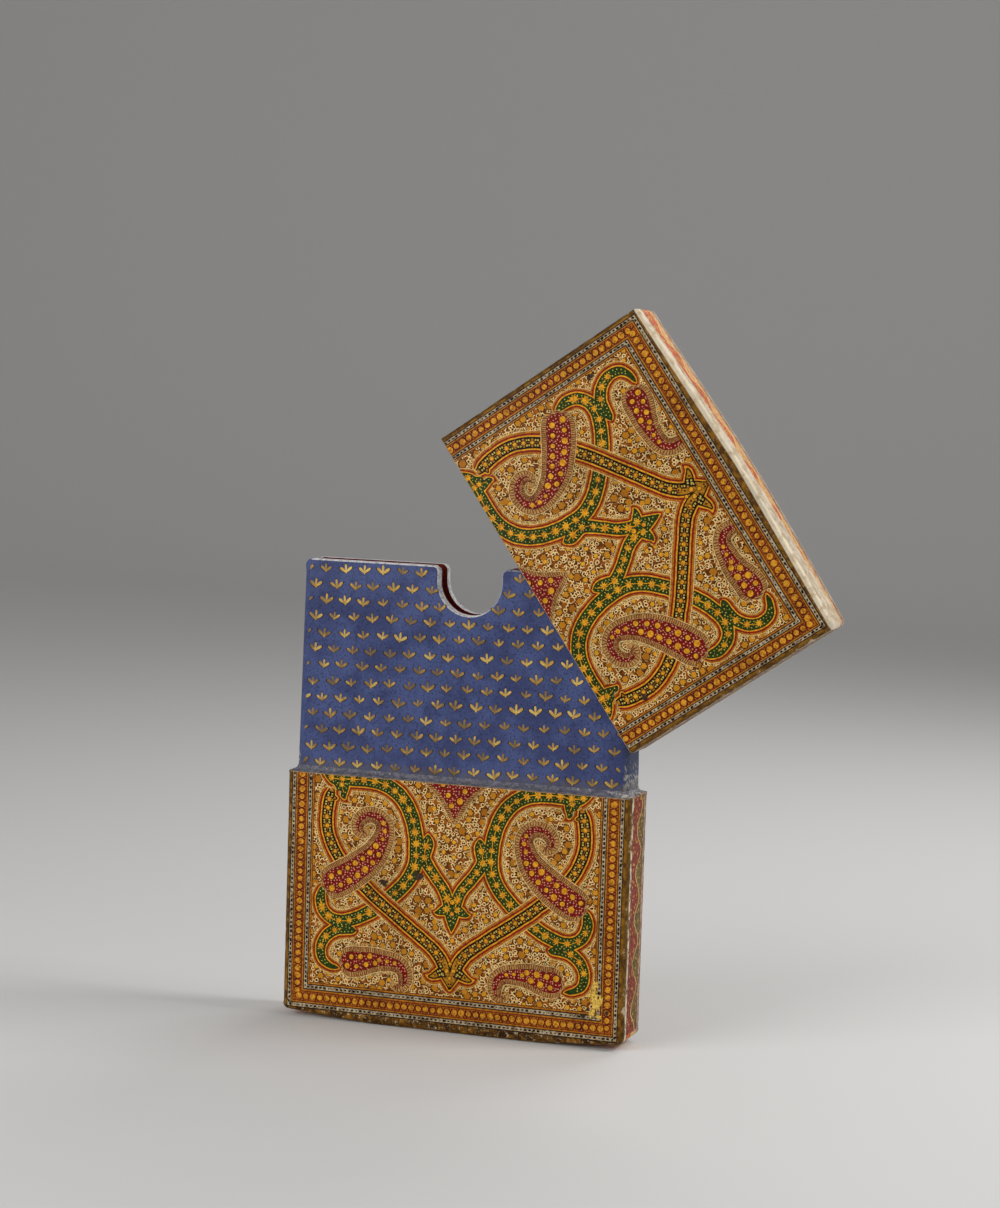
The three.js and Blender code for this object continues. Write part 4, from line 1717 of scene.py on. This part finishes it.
LADDER_SPECKS = (
    (1.15, 37.2), (1.9, 36.2), (1.6, 38.7), (2.4, 39.0), (3.2, 39.5), (0.9, 39.5), (0.25, 41.1), (0.2, 37.7),
)


@dataclass(frozen=True)
class Design:
    """The painted design of a face, w measured from the mouth, drawn for the right side."""

    green: tuple[Stroke, ...] = tuple(
        Stroke(spots) for spots in (GREEN_ARM, GREEN_HOOK, GREEN_STEM, GREEN_LEAF, GREEN_LOBE)
    )
    ladder: tuple[Stroke, ...] = tuple(Stroke(spots) for spots in (LADDER_ARM, LADDER_LEAF, LADDER_SPUR))
    unsteady: float = 0.09
    boteh: tuple[Stroke, ...] = (Stroke(BOTEH_TALL), Stroke(BOTEH_LOW), Stroke(BOTEH_BELL, both_sides=False))

    def painted(self, painter: Painter) -> Sheet:
        """The strokes of the design on one sheet.

        Args:
            painter: The painter.

        Returns:
            The painted sheet.
        """
        sheet = Sheet(painter)
        motifs = self.motifs()
        carrier = painter.curve([path for motif in motifs for path in motif.paths()])
        sheet.rows(carrier, EDGE_ROWS, 1)
        painter.discard(carrier)
        level = 2.0
        for motif in motifs:
            level = sheet.motif(motif, level)
        sheet.wander(self.unsteady)
        LOG.info("painted the design in %d layers", level)
        return sheet

    def motifs(self) -> tuple[Motif, ...]:
        """The motifs, lowest first."""
        return (
            Motif(self.green, GREEN_BANDS, GREEN_ROWS, GREEN_FLOWERS),
            Motif(self.ladder, LADDER_BANDS, LADDER_ROWS, LADDER_FLOWERS, LADDER_SPECKS),
            Motif(self.boteh, BOTEH_BANDS, BOTEH_ROWS),
        )


FRAME_LINES = (
    (-0.42, Colour.BROWN),
    (-0.28, Colour.OCHRE),
    (0.0, Colour.BLACK),
    (0.2, Colour.WHITE),
    (0.9, Colour.BLACK),
    (1.1, Colour.OCHRE),
    (1.4, Colour.RUST),
    (1.56, Colour.BEAD),
    (3.22, Colour.RUST),
    (3.36, Colour.OCHRE),
    (3.62, Colour.BLACK),
    (3.8, Colour.WHITE),
    (4.48, Colour.BLACK),
)
FRAME_END = 4.66
BEADS_AT = 2.39
BEAD_ROWS = (
    Scatter(Mark.CROSS, Colour.RUST, 1.56, 0.84, start=1.28, turn=0.15, uneven=0.1),
    Scatter(Mark.BEAD, Colour.RUST, 1.56, 0.77, start=0.5, turn=3.0, uneven=0.05),
    Scatter(Mark.BEAD, Colour.BORDER, 1.56, 0.63, start=0.5, turn=3.0, uneven=0.14),
)
WHITE_BANDS_AT = (0.55, 4.14)
WHITE_ROW = Scatter(Mark.BLOCK, Colour.BLACK, 0.92, 0.24, start=0.4, turn=0.3, uneven=0.4)


@dataclass(frozen=True)
class Lines:
    """The painted frame of a face: where its inner line lies, and its scale along u and w."""

    side: float
    end: float
    side_scale: float
    end_scale: float

    def paint(self, sheet: Sheet) -> None:
        """Paints the frame: straight lines, beads and dots.

        Args:
            sheet: The sheet.
        """
        ends = [*[at for at, _ in FRAME_LINES[1:]], FRAME_END]
        for (near, colour), far in zip(FRAME_LINES, ends):
            self.bent(sheet, near, far, colour)
        self.rows(sheet, BEADS_AT, BEAD_ROWS)
        for at in WHITE_BANDS_AT:
            self.rows(sheet, at, (WHITE_ROW,))

    def rows(self, sheet: Sheet, past: float, rows: Sequence[Scatter]) -> None:
        """Sets rows of marks along a line that runs so far past the inner one."""
        carrier = sheet.painter.curve([self.path(past, 0.8)])
        sheet.rows(carrier, rows, 1)
        sheet.painter.discard(carrier)

    def path(self, past: float, radius: float) -> np.ndarray:
        """A line's run, down one side, across and up the other.

        Args:
            past: How far it lies past the inner line.
            radius: The half width that it carries.

        Returns:
            Its points, with that half width.
        """
        side, end = self.side + past * self.side_scale, self.end + past * self.end_scale
        corners = [(-side, 0.0), (-side, end), (side, end), (side, 0.0)]
        run = []
        for (x0, y0), (x1, y1) in zip(corners, corners[1:]):
            for t in spaced(0.0, 1.0, 0.02):
                run.append((x0 + (x1 - x0) * t, y0 + (y1 - y0) * t, radius))
        run.append((*corners[-1], radius))
        return np.array(run)

    def bent(self, sheet: Sheet, near: float, far: float, colour: Colour) -> None:
        """Paints one line of the frame as three mitred lengths.

        Args:
            sheet: The sheet.
            near: Where the line starts past the inner one.
            far: Where it ends.
            colour: Its paint.
        """
        a, b = self.side + near * self.side_scale, self.side + far * self.side_scale
        c, d = self.end + near * self.end_scale, self.end + far * self.end_scale
        sheet.polygon(np.array([(-b, 0.0), (-a, 0.0), (-a, c), (-b, d)]), 0, colour)
        sheet.polygon(np.array([(-b, d), (-a, c), (a, c), (b, d)]), 0, colour)
        sheet.polygon(np.array([(a, 0.0), (b, 0.0), (b, d), (a, c)]), 0, colour)


@dataclass(frozen=True)
class Blotch:
    """A worn or rubbed patch on a face."""

    at: Spot
    size: Spot
    colour: Colour

    def ring(self) -> np.ndarray:
        """The patch's ragged outline."""
        ring = []
        for t in np.arange(72) * math.pi / 36:
            round_at = Vector((math.cos(t), math.sin(t), self.at[0]))
            ragged = 1.0 + 0.5 * noise.noise(round_at * 1.8) + 0.55 * noise.noise(round_at * 5.5)
            x = self.at[0] + self.size[0] * ragged * math.cos(t)
            y = self.at[1] + self.size[1] * ragged * math.sin(t)
            ring.append((x, y))
        return np.array(ring)


CASE_WEAR = (
    Blotch((31.0, 38.2), (0.6, 0.9), Colour.RUBBED),
    Blotch((30.6, 40.0), (1.0, 1.1), Colour.RUBBED),
    Blotch((31.2, 42.0), (0.95, 1.3), Colour.RUBBED),
    Blotch((30.4, 43.9), (0.6, 0.8), Colour.RUBBED),
    Blotch((32.3, 40.9), (0.45, 0.8), Colour.RUBBED),
    Blotch((32.0, 44.5), (0.6, 0.5), Colour.RUBBED),
    Blotch((28.6, 44.6), (0.5, 0.35), Colour.SPOT),
    Blotch((29.6, 43.2), (0.3, 0.4), Colour.SPOT),
    Blotch((33.6, 43.6), (0.35, 0.6), Colour.SPOT),
    Blotch((-7.5, 19.5), (0.95, 0.9), Colour.SPOT),
    Blotch((-15.0, 21.5), (0.75, 0.6), Colour.SPOT),
)
CAP_WEAR = (
    Blotch((29.0, 8.5), (0.7, 0.6), Colour.SPOT),
    Blotch((-30.5, 33.0), (0.5, 0.7), Colour.SPOT),
)


@dataclass
class PaintedHalf:
    """A painted half of pasteboard: two face boards, two edge strips and a bowed end strip."""

    body: str
    end_name: str
    axes: Axes
    size: np.ndarray
    nodes: dict[str, Object]
    bow: float
    flat_half: float
    lines: Lines
    end_cream: float
    pale_to: float
    blotches: tuple[Blotch, ...]
    side_round: float = 1.2
    end_round: float = 0.85
    corner_round: float = 1.3
    lip_round: float = 0.18
    bow_curve: float = 1.25
    top_layer: float = 28.0
    field_gap: float = 0.4
    bare_lip: float = 0.2
    unsteady: float = 0.05
    end_slope: float = 0.0
    flaked: float = 0.2
    side_red: Tones = ("963420", "6A2014")

    def __post_init__(self) -> None:
        """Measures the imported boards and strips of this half."""
        high = self.axes.reach(self.nodes[f"{self.body}_front_board"])[1]
        self.inside_v = -float(high[1])
        self.inside_u = float(self.axes.reach(self.nodes[f"{self.body}_right_strip"])[0][0])
        end_low = self.axes.reach(self.nodes[f"{self.body}_{self.end_name}_strip"])[0]
        self.crown = float(high[2] - end_low[2])

    @property
    def half_width(self) -> float:
        """Half the width."""
        return float(self.size[0]) / 2

    @property
    def half_thickness(self) -> float:
        """Half the thickness, less what the paint layers take."""
        return float(self.size[1]) / 2 - PAINT_SKIN

    @property
    def height(self) -> float:
        """From mouth to closed end."""
        return float(self.size[2])

    def rise(self, u: float) -> float:
        """How far the bowed end draws back at a distance from the middle."""
        along = max(0.0, (abs(u) - self.flat_half) / (self.half_width - self.flat_half))
        return self.bow * along**self.bow_curve

    def outline(self) -> Outline:
        """The outline of a face, in u and w."""
        half, height, corner = self.half_width, self.height, self.corner_round
        bend = half - corner
        start = height - self.rise(bend) - corner
        foot = height - self.crown
        shape = Outline()
        shape.go([(u, 0.0) for u in spaced(-half, half, OUTLINE_STEP)], self.lip_round)
        right = [*spaced(0.0, foot, OUTLINE_STEP), *spaced(foot, start, OUTLINE_STEP)]
        shape.go([(half, w) for w in right], self.side_round)
        shape.go(arc((bend, start), corner, 0, 1, ARC_STEPS), self.end_round)
        across = spaced(bend, -bend, OUTLINE_STEP)
        shape.go([(u, height - self.rise(u)) for u in across], self.end_round)
        shape.go(arc((-bend, start), corner, 1, 2, ARC_STEPS), self.end_round)
        left = [*spaced(start, foot, OUTLINE_STEP), *spaced(foot, 0.0, OUTLINE_STEP)]
        shape.go([(-half, w) for w in left], self.side_round)
        return shape

    def build(self, joiner: Joiner, finishes: Finishes) -> None:
        """Makes the five boards and dresses them.

        Args:
            joiner: The joiner.
            finishes: The materials.
        """
        field_paint = FieldPaint(
            name=f"{self.body}_painted_face",
            field_side=self.lines.side - 0.35,
            field_end=self.lines.end - 0.35,
            end_cream=self.end_cream,
            flaked=self.flaked,
        )
        face = finishes.keep(field_paint.name, field_paint.material)
        bare = finishes.keep("bare_pasteboard", BarePaint.board)
        outline = self.outline()
        for side, sign in FACES:
            skin = joiner.board(outline, sign * self.half_thickness, sign * self.inside_v)
            piece = skin.build(f"{self.body}_{side}_face", self.axes, [face, bare])
            dress(piece, self.body, f"{self.body}_{side}_board")
        self.build_strips(joiner, finishes, outline)

    def build_strips(self, joiner: Joiner, finishes: Finishes, outline: Outline) -> None:
        """Makes the edge strips and the end strip.

        Args:
            joiner: The joiner.
            finishes: The materials.
            outline: The outline of a face.
        """
        bare = finishes.keep("bare_pasteboard", BarePaint.board)
        side_vine = VinePaint(f"{self.body}_vine_edge", along_end=False, pale_to=-4.9, red=self.side_red)
        side_finish = finishes.keep(side_vine.name, side_vine.material)
        end_vine = VinePaint(
            name=f"{self.body}_vine_end",
            along_end=True,
            pale_to=self.pale_to,
            pale_slope=self.end_slope,
            red=("D0582C", "B84A26"),
            olive=("E6C08C", "D08A58"),
            fullness=1.7,
        )
        end_finish = finishes.keep(end_vine.name, end_vine.material)
        reach = self.inside_v - STRIP_CLEAR
        foot = self.height - self.crown
        inner = self.inside_u
        for side, sign in EDGES:
            close = [(sign * inner, foot), (sign * inner, 0.0)]
            if sign < 0:
                close.reverse()
            shape = outline.part(lambda u, w, s=sign: u * s > inner and 0.0 <= w <= foot + 1e-6, close)
            skin = joiner.strip(shape, reach)
            piece = skin.build(f"{self.body}_{side}_edge", self.axes, [side_finish, bare])
            dress(piece, self.body, f"{self.body}_{side}_strip")
        shape = outline.part(lambda u, w: w >= foot - 1e-6, [])
        skin = joiner.strip(shape, reach)
        piece = skin.build(f"{self.body}_{self.end_name}_edge", self.axes, [end_finish, bare])
        dress(piece, self.body, f"{self.body}_{self.end_name}_strip")

    def paint(self, painter: Painter, ornament: Sheet) -> None:
        """Paints both faces.

        Args:
            painter: The painter.
            ornament: The sheet with the design's strokes, which both halves share.
        """
        ornament.trim(self.lines.side - self.field_gap, self.bare_lip, self.lines.end - self.field_gap)
        borders = Sheet(painter)
        self.lines.paint(borders)
        borders.wander(self.unsteady)
        borders.trim(self.half_width, self.bare_lip, self.height)
        for side, sign in FACES:
            self.lay(ornament, f"{self.body}_{side}_ornament", sign)
            self.lay(borders, f"{self.body}_{side}_borders", sign)
        worn = Sheet(painter)
        for number, blotch in enumerate(self.blotches):
            worn.polygon(blotch.ring(), self.top_layer + 0.2 * number, blotch.colour)
        self.lay(worn, f"{self.body}_front_wear", -1.0)

    def lay(self, sheet: Sheet, name: str, sign: float) -> None:
        """Lays a sheet of paint on the front or the back."""
        join(sheet.lay(name, self.axes, Face(sign, self.half_thickness)), self.body)


@dataclass
class Sleeve:
    """The blue inner sleeve: two boards, edge strips, lining sheets, the gesso and the sprigs.

    Its frame has w upwards from the shoulder.
    """

    axes: Axes
    nodes: dict[str, Object]
    face_taper: float = 1.05
    side_taper: float = 0.4
    edge_round: float = 1.5
    lip_corner: float = 1.7
    lip_round: float = 0.62
    notch_width: float = 13.5
    notch_depth: float = 9.8
    notch_offset: float = 0.8
    notch_mouth: float = 1.3
    fillet_rise: float = 1.15
    fillet_back: float = 0.28
    sprig_columns: int = 17
    sprig_rows: int = 13
    sprig_across: float = 4.2
    sprig_up: float = 3.33
    sprig_lowest: float = 2.35
    sprig_clear: float = 0.75
    unsteady: float = 0.1
    fillet_gap: float = 0.03
    fillet_floor: float = 0.012
    fillet_foot: float = 0.14
    board_dent: float = 0.2

    def __post_init__(self) -> None:
        """Measures the sleeve's boards and strips."""
        low, high = self.axes.reach(self.nodes["sleeve_front_board"])
        self.half_width, self.half_thickness = -float(low[0]), -float(low[1])
        self.inside_v, self.foot, self.lip = -float(high[1]), float(low[2]), float(high[2])
        self.inside_u = float(self.axes.reach(self.nodes["sleeve_right_strip"])[0][0])

    def tapered(self, points: np.ndarray) -> np.ndarray:
        """Tapers the sleeve.

        Args:
            points: Points of the sleeve as if it were straight.

        Returns:
            The points, drawn in towards the lip.
        """
        share = np.clip(points[:, 2] / self.lip, 0.0, 1.0)
        board, strip = self.half_thickness - self.inside_v, self.half_width - self.inside_u
        far_v = np.clip((np.abs(points[:, 1]) - self.inside_v) / board, 0, 1.2)
        far_u = np.clip((np.abs(points[:, 0]) - self.inside_u) / strip, 0, 1)
        moved = points.copy()
        moved[:, 0] -= np.sign(points[:, 0]) * self.side_taper * share * far_u
        moved[:, 1] -= np.sign(points[:, 1]) * self.face_taper * share * far_v
        return moved

    def notched(self, half: float, base: float, corner: float, rim: float, edge: float) -> Outline:
        """Draws a board's outline with the thumb notch.

        Args:
            half: Half the board's width.
            base: Its lowest w.
            corner: The radius of its top corners.
            rim: The rounding of its top and notch edges.
            edge: The rounding of its side edges.

        Returns:
            The outline.
        """
        shape = Outline()
        top, wide, mouth = self.lip, self.notch_width / 2, self.notch_mouth
        middle, bottom = self.notch_offset, self.lip - self.notch_depth + wide
        shape.go([(u, base) for u in spaced(-half, half, OUTLINE_STEP)], 0.05)
        shape.go([(half, w) for w in [*spaced(base, 0.0, 2.0), *spaced(0.0, top - corner, 1.0)]], edge)
        shape.go(arc((half - corner, top - corner), corner, 0, 1, ARC_STEPS), rim)
        shape.go([(u, top) for u in spaced(half - corner, middle + wide + mouth, OUTLINE_STEP)], rim)
        shape.go(arc((middle + wide + mouth, top - mouth), mouth, 1, 2, 8), rim)
        shape.go([(middle + wide, w) for w in spaced(top - mouth, bottom, OUTLINE_STEP)], rim)
        shape.go(arc((middle, bottom), wide, 0, -2, 36), rim)
        shape.go([(middle - wide, w) for w in spaced(bottom, top - mouth, OUTLINE_STEP)], rim)
        shape.go(arc((middle - wide - mouth, top - mouth), mouth, 0, 1, 8), rim)
        shape.go([(u, top) for u in spaced(middle - wide - mouth, corner - half, OUTLINE_STEP)], rim)
        shape.go(arc((corner - half, top - corner), corner, 1, 2, ARC_STEPS), rim)
        shape.go([(-half, w) for w in [*spaced(top - corner, 0.0, 1.0), *spaced(0.0, base, 2.0)]], edge)
        return shape

    def build(self, joiner: Joiner, finishes: Finishes) -> None:
        """Makes the sleeve's boards, strips, linings and gesso.

        Args:
            joiner: The joiner.
            finishes: The materials.
        """
        blue = finishes.keep("sleeve_blue", BarePaint.blue)
        outline = self.notched(self.half_width, self.foot, self.lip_corner, self.lip_round, self.edge_round)
        for side, sign in FACES:
            skin = joiner.board(outline, sign * self.half_thickness, sign * self.inside_v, self.board_dent)
            name = f"sleeve_{side}_face"
            piece = skin.build(name, self.axes, [blue, blue], 0.0, self.tapered)
            dress(piece, "case", f"sleeve_{side}_board")
        self.build_strips(joiner, blue, outline)
        self.build_linings(joiner, finishes)
        self.build_gesso(finishes)

    def build_strips(self, joiner: Joiner, blue: Material, outline: Outline) -> None:
        """Makes the two edge strips between the boards.

        Args:
            joiner: The joiner.
            blue: The sleeve's paint.
            outline: The outline of a board.
        """
        inner, reach = self.inside_u, self.inside_v - STRIP_CLEAR
        for side, sign in EDGES:
            close = [(sign * inner, self.lip), (sign * inner, self.foot)]
            if sign < 0:
                close.reverse()
            shape = outline.part(lambda u, w, s=sign: u * s > inner + 0.1, close)
            skin = joiner.strip(shape, reach, self.board_dent)
            piece = skin.build(f"sleeve_{side}_edge", self.axes, [blue, blue], 0.0, self.tapered)
            dress(piece, "case", f"sleeve_{side}_strip")

    def build_linings(self, joiner: Joiner, finishes: Finishes) -> None:
        """Makes the lining sheets, whose edges show in the notch.

        Args:
            joiner: The joiner.
            finishes: The materials.
        """
        paper = finishes.keep("lining_red", BarePaint.paper)
        for side, sign in FACES:
            node = f"lining_{side}_sheet"
            low, high = self.axes.reach(self.nodes[node])
            near, far = sorted((abs(float(low[1])), abs(float(high[1]))))
            outline = self.notched(float(high[0]), float(low[2]), 0.3, 0.06, 0.02)
            skin = joiner.board(outline, sign * far, sign * near, 0.02)
            piece = skin.build(f"lining_{side}_paper", self.axes, [paper, paper])
            dress(piece, "case", node)

    def build_gesso(self, finishes: Finishes) -> None:
        """Makes the lumpy gesso in the corner between the shoulder and the sleeve.

        Args:
            finishes: The materials.
        """
        far_u, far_v = (float(x) - self.fillet_back for x in self.shoulder)
        near_u, near_v = self.half_width + self.fillet_gap, self.half_thickness + self.fillet_gap
        rings = [(near_u, near_v, self.fillet_floor), (far_u, far_v, self.fillet_floor)]
        for i in range(ARC_STEPS + 1):
            turn = i / ARC_STEPS * math.pi / 2
            out = (1 - math.sin(turn)) * 0.97
            level = self.fillet_foot + (self.fillet_rise - self.fillet_foot) * (1 - math.cos(turn))
            rings.append((near_u + (far_u - near_u) * out, near_v + (far_v - near_v) * out, level))
        skin = Skin()
        firsts, count = [], 0
        for number, (half_u, half_v, level) in enumerate(rings):
            ring = self.rounded(half_u, half_v)
            count = len(ring)
            spots = np.column_stack([ring[:, 0], ring[:, 1], np.full(count, level)])
            if 1 < number < len(rings) - 1:
                lumps = np.array([noise.fractal(Vector(p) * 0.8, 1.0, 2.0, 3) for p in spots])
                spots[:, 2] = np.maximum(spots[:, 2] + lumps * 0.16 * min(1.0, level), 0.05)
            firsts.append(skin.add_ring(spots, 1.0))
        for first, second in zip(firsts, [*firsts[1:], firsts[0]]):
            skin.join_rings(first, second, count)
        gesso = finishes.keep("gesso_grey", BarePaint.gesso)
        piece = skin.build("gesso_fillet", self.axes, [gesso])
        dress(piece, "case", "shoulder_fillet")

    @property
    def shoulder(self) -> Spot:
        """Half the width and half the thickness of the lower half, which carries the gesso."""
        low = self.axes.reach(self.nodes["case_front_board"])[0]
        return -float(low[0]), -float(low[1])

    def rounded(self, half_u: float, half_v: float) -> np.ndarray:
        """A rounded rectangle with the same number of points at any size.

        Args:
            half_u: Half its width.
            half_v: Half its thickness.

        Returns:
            Its points.
        """
        radius = self.edge_round
        ring: list[Spot] = []
        across, deep = half_u - radius, half_v - radius
        centres = ((across, -deep), (across, deep), (-across, deep), (-across, -deep))
        for quarter, centre in enumerate(centres):
            first, last = quarter - 1, quarter
            ring.extend(arc(centre, radius, first, last, 6))
            turn = last * math.pi / 2
            start = np.array(centre) + radius * np.array([math.cos(turn), math.sin(turn)])
            following = centres[(quarter + 1) % 4]
            stop = np.array(following) + radius * np.array([math.cos(turn), math.sin(turn)])
            count = 90 if abs(stop[0] - start[0]) > abs(stop[1] - start[1]) else 10
            ring.extend(tuple(start + (stop - start) * t) for t in spaced(0.0, 1.0, 1 / count))
        return np.array(ring)

    def paint(self, painter: Painter) -> None:
        """Paints the rows of sprigs on both faces.

        Args:
            painter: The painter.
        """
        for side, sign in FACES:
            sheet = Sheet(painter)
            values = {
                "Columns": self.sprig_columns,
                "Rows": self.sprig_rows,
                "Across": self.sprig_across,
                "Up": self.sprig_up,
                "Lowest": self.sprig_lowest,
                "Notch": self.notch_width / 2 + self.sprig_clear,
                "Notch middle": self.notch_offset,
                "Notch height": self.lip - self.notch_depth + self.notch_width / 2,
                "Seed": 3 if sign < 0 else 8,
                "Mark": painter.pattern(Mark.SPRIG),
            }
            carrier = painter.curve([np.array([(0.0, 0.0, 1.0), (1.0, 0.0, 1.0)])])
            for level, (colour, growth) in enumerate(((Colour.SHADE, 1.16), (Colour.SPRIG, 1.0))):
                values |= {"Growth": growth, "Paint": painter.finishes.paint(colour)}
                sheet.merge([(painter.run(carrier, painter.sprig_tree, values), colour)], level)
            painter.discard(carrier)
            sheet.wander(self.unsteady)
            sheet.trim(self.half_width - self.edge_round - 0.1, 0.9, self.lip - 0.6)
            face = Face(sign, self.half_thickness, self.face_taper, self.lip)
            join(sheet.lay(f"sleeve_{side}_sprigs", self.axes, face), "case")


@dataclass(frozen=True)
class Studio:
    """A pale sweep, soft lamps and the camera."""

    target: Triple = (6.13, 0.0, 87.89)
    distance: float = 602.0
    yaw: float = 19.122
    pitch: float = 5.249
    roll: float = 1.811
    lens: float = 88.57

    def build(self) -> None:
        """Makes the floor, the lamps and the camera."""
        self.sweep()
        self.world()
        self.lamp("key_lamp", (420.0, 60.0, 380.0), (190.0, 190.0), 1.3)
        self.lamp("fill_lamp", (-300.0, -480.0, 260.0), (420.0, 420.0), 1.75)
        self.lamp("back_lamp", (120.0, 420.0, 420.0), (300.0, 200.0), 0.7)
        self.camera()

    def sweep(self) -> None:
        """Makes the floor, which curves up into the backdrop."""
        wide, front, bend, radius, top = 2500.0, -1200.0, 900.0, 500.0, 2200.0
        profile = [(front, 0.0), (bend, 0.0)]
        profile += [(bend + x, radius + y) for x, y in arc((0.0, 0.0), radius, -1, 0, 24)][1:]
        profile += [(bend + radius, radius), (bend + radius, top)]
        points = [(x * MM, y * MM, z * MM) for y, z in profile for x in (-wide, wide)]
        faces = [(i, i + 1, i + 3, i + 2) for i in range(0, len(points) - 2, 2)]
        mesh = bpy.data.meshes.new("sweep")
        mesh.from_pydata(points, [], faces)
        mesh.polygons.foreach_set("use_smooth", [True] * len(faces))
        material = bpy.data.materials.new("sweep_paper")
        material.use_nodes = True
        shader = material.node_tree.nodes["Principled BSDF"]
        shader.inputs["Base Color"].default_value = linear("E4E3E1")
        shader.inputs["Roughness"].default_value = 0.8
        mesh.materials.append(material)
        piece = bpy.data.objects.new("sweep", mesh)
        bpy.context.scene.collection.objects.link(piece)

    @staticmethod
    def world() -> None:
        """Fills the room with plain pale light."""
        world = bpy.data.worlds.new("room")
        world.use_nodes = True
        background = world.node_tree.nodes["Background"]
        background.inputs["Color"].default_value = (1.0, 1.0, 1.0, 1.0)
        background.inputs["Strength"].default_value = 0.25
        bpy.context.scene.world = world

    def lamp(self, name: str, at: Sequence[float], size: Sequence[float], power: float) -> None:
        """Adds an area lamp that looks at the case.

        Args:
            name: Its name.
            at: Its place in millimetres.
            size: Its width and height in millimetres.
            power: Its power in watts.
        """
        light = bpy.data.lights.new(name, "AREA")
        light.shape = "RECTANGLE"
        light.size, light.size_y = size[0] * MM, size[1] * MM
        light.energy = power
        lamp = bpy.data.objects.new(name, light)
        lamp.location = Vector(at) * MM
        way = Vector(self.target) * MM - lamp.location
        lamp.rotation_euler = way.to_track_quat("-Z", "Y").to_euler()
        bpy.context.scene.collection.objects.link(lamp)

    def camera(self) -> None:
        """Sets the camera at the photograph's viewing angle."""
        yaw, pitch, roll = (math.radians(a) for a in (self.yaw, self.pitch, self.roll))
        back = Vector((math.sin(yaw) * math.cos(pitch), -math.cos(yaw) * math.cos(pitch), math.sin(pitch)))
        level = Vector((0.0, 0.0, 1.0)).cross(back).normalized()
        upright = back.cross(level)
        right = math.cos(roll) * level + math.sin(roll) * upright
        up = math.cos(roll) * upright - math.sin(roll) * level
        data = bpy.data.cameras.new("camera")
        data.sensor_width = 36.0
        data.lens = self.lens
        data.clip_start, data.clip_end = 0.01, 20.0
        camera = bpy.data.objects.new("camera", data)
        place = (Vector(self.target) + back * self.distance) * MM
        turned = Matrix((right, up, back)).transposed().to_4x4()
        camera.matrix_world = Matrix.Translation(place) @ turned
        bpy.context.scene.collection.objects.link(camera)
        bpy.context.scene.camera = camera


def dress_hidden_nodes(nodes: dict[str, Object], finishes: Finishes) -> None:
    """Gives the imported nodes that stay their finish: the slips and floors inside the sleeve.

    Args:
        nodes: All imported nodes, by name.
        finishes: The materials.
    """
    paper = finishes.keep("lining_red", BarePaint.paper)
    bare = finishes.keep("bare_pasteboard", BarePaint.board)
    for name, node in nodes.items():
        finish = paper if name.startswith("lining") else bare
        if node.data.materials:
            for slot in node.material_slots:
                slot.material = finish
        else:
            node.data.materials.append(finish)


def main() -> None:
    """Builds the whole scene."""
    logging.basicConfig(level=logging.INFO, format="%(message)s")
    noise.seed_set(NOISE_SEED)
    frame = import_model()
    nodes = frame["nodes"]
    finishes = Finishes()
    painter = Painter(finishes)
    joiner = Joiner()
    ornament = Design().painted(painter)

    case_nodes = [nodes[name] for name in nodes if name.startswith("case_")]
    case_axes, case_size = Axes.measured(case_nodes, ((1, 0, 0), (0, 1, 0), (0, 0, -1)))
    slide = Vector(frame["joints"][0]["axis"]).normalized()
    right = Vector((0.0, 1.0, 0.0)).cross(slide).normalized()
    cap_nodes = [nodes[name] for name in nodes if name.startswith("cap_")]
    cap_axes, cap_size = Axes.measured(cap_nodes, (right, slide.cross(right), slide))

    case = PaintedHalf(
        body="case",
        end_name="bottom",
        axes=case_axes,
        size=case_size,
        nodes=nodes,
        bow=1.35,
        flat_half=17.0,
        lines=Lines(31.24, 44.24, 1.0, 1.11),
        end_cream=60.0,
        pale_to=-9.0,
        blotches=CASE_WEAR,
        corner_round=1.4,
        flaked=0.9,
    )
    cap = PaintedHalf(
        body="cap",
        end_name="end",
        axes=cap_axes,
        size=cap_size,
        nodes=nodes,
        bow=1.0,
        flat_half=4.0,
        lines=Lines(31.66, 42.25, 0.93, 1.05),
        end_cream=48.5,
        pale_to=-1.0,
        blotches=CAP_WEAR,
        end_slope=0.09,
        side_red=("74442E", "503022"),
    )
    for half in (case, cap):
        half.build(joiner, finishes)
        half.paint(painter, ornament)
    seam = Axes(case_axes.origin, case_axes.right, case_axes.back, -case_axes.down)
    sleeve = Sleeve(seam, nodes)
    sleeve.build(joiner, finishes)
    sleeve.paint(painter)
    dress_hidden_nodes(nodes, finishes)
    painter.forget_patterns()

    Studio().build()
    bpy.context.scene.view_settings.view_transform = "Standard"


if __name__ == "__main__":
    main()
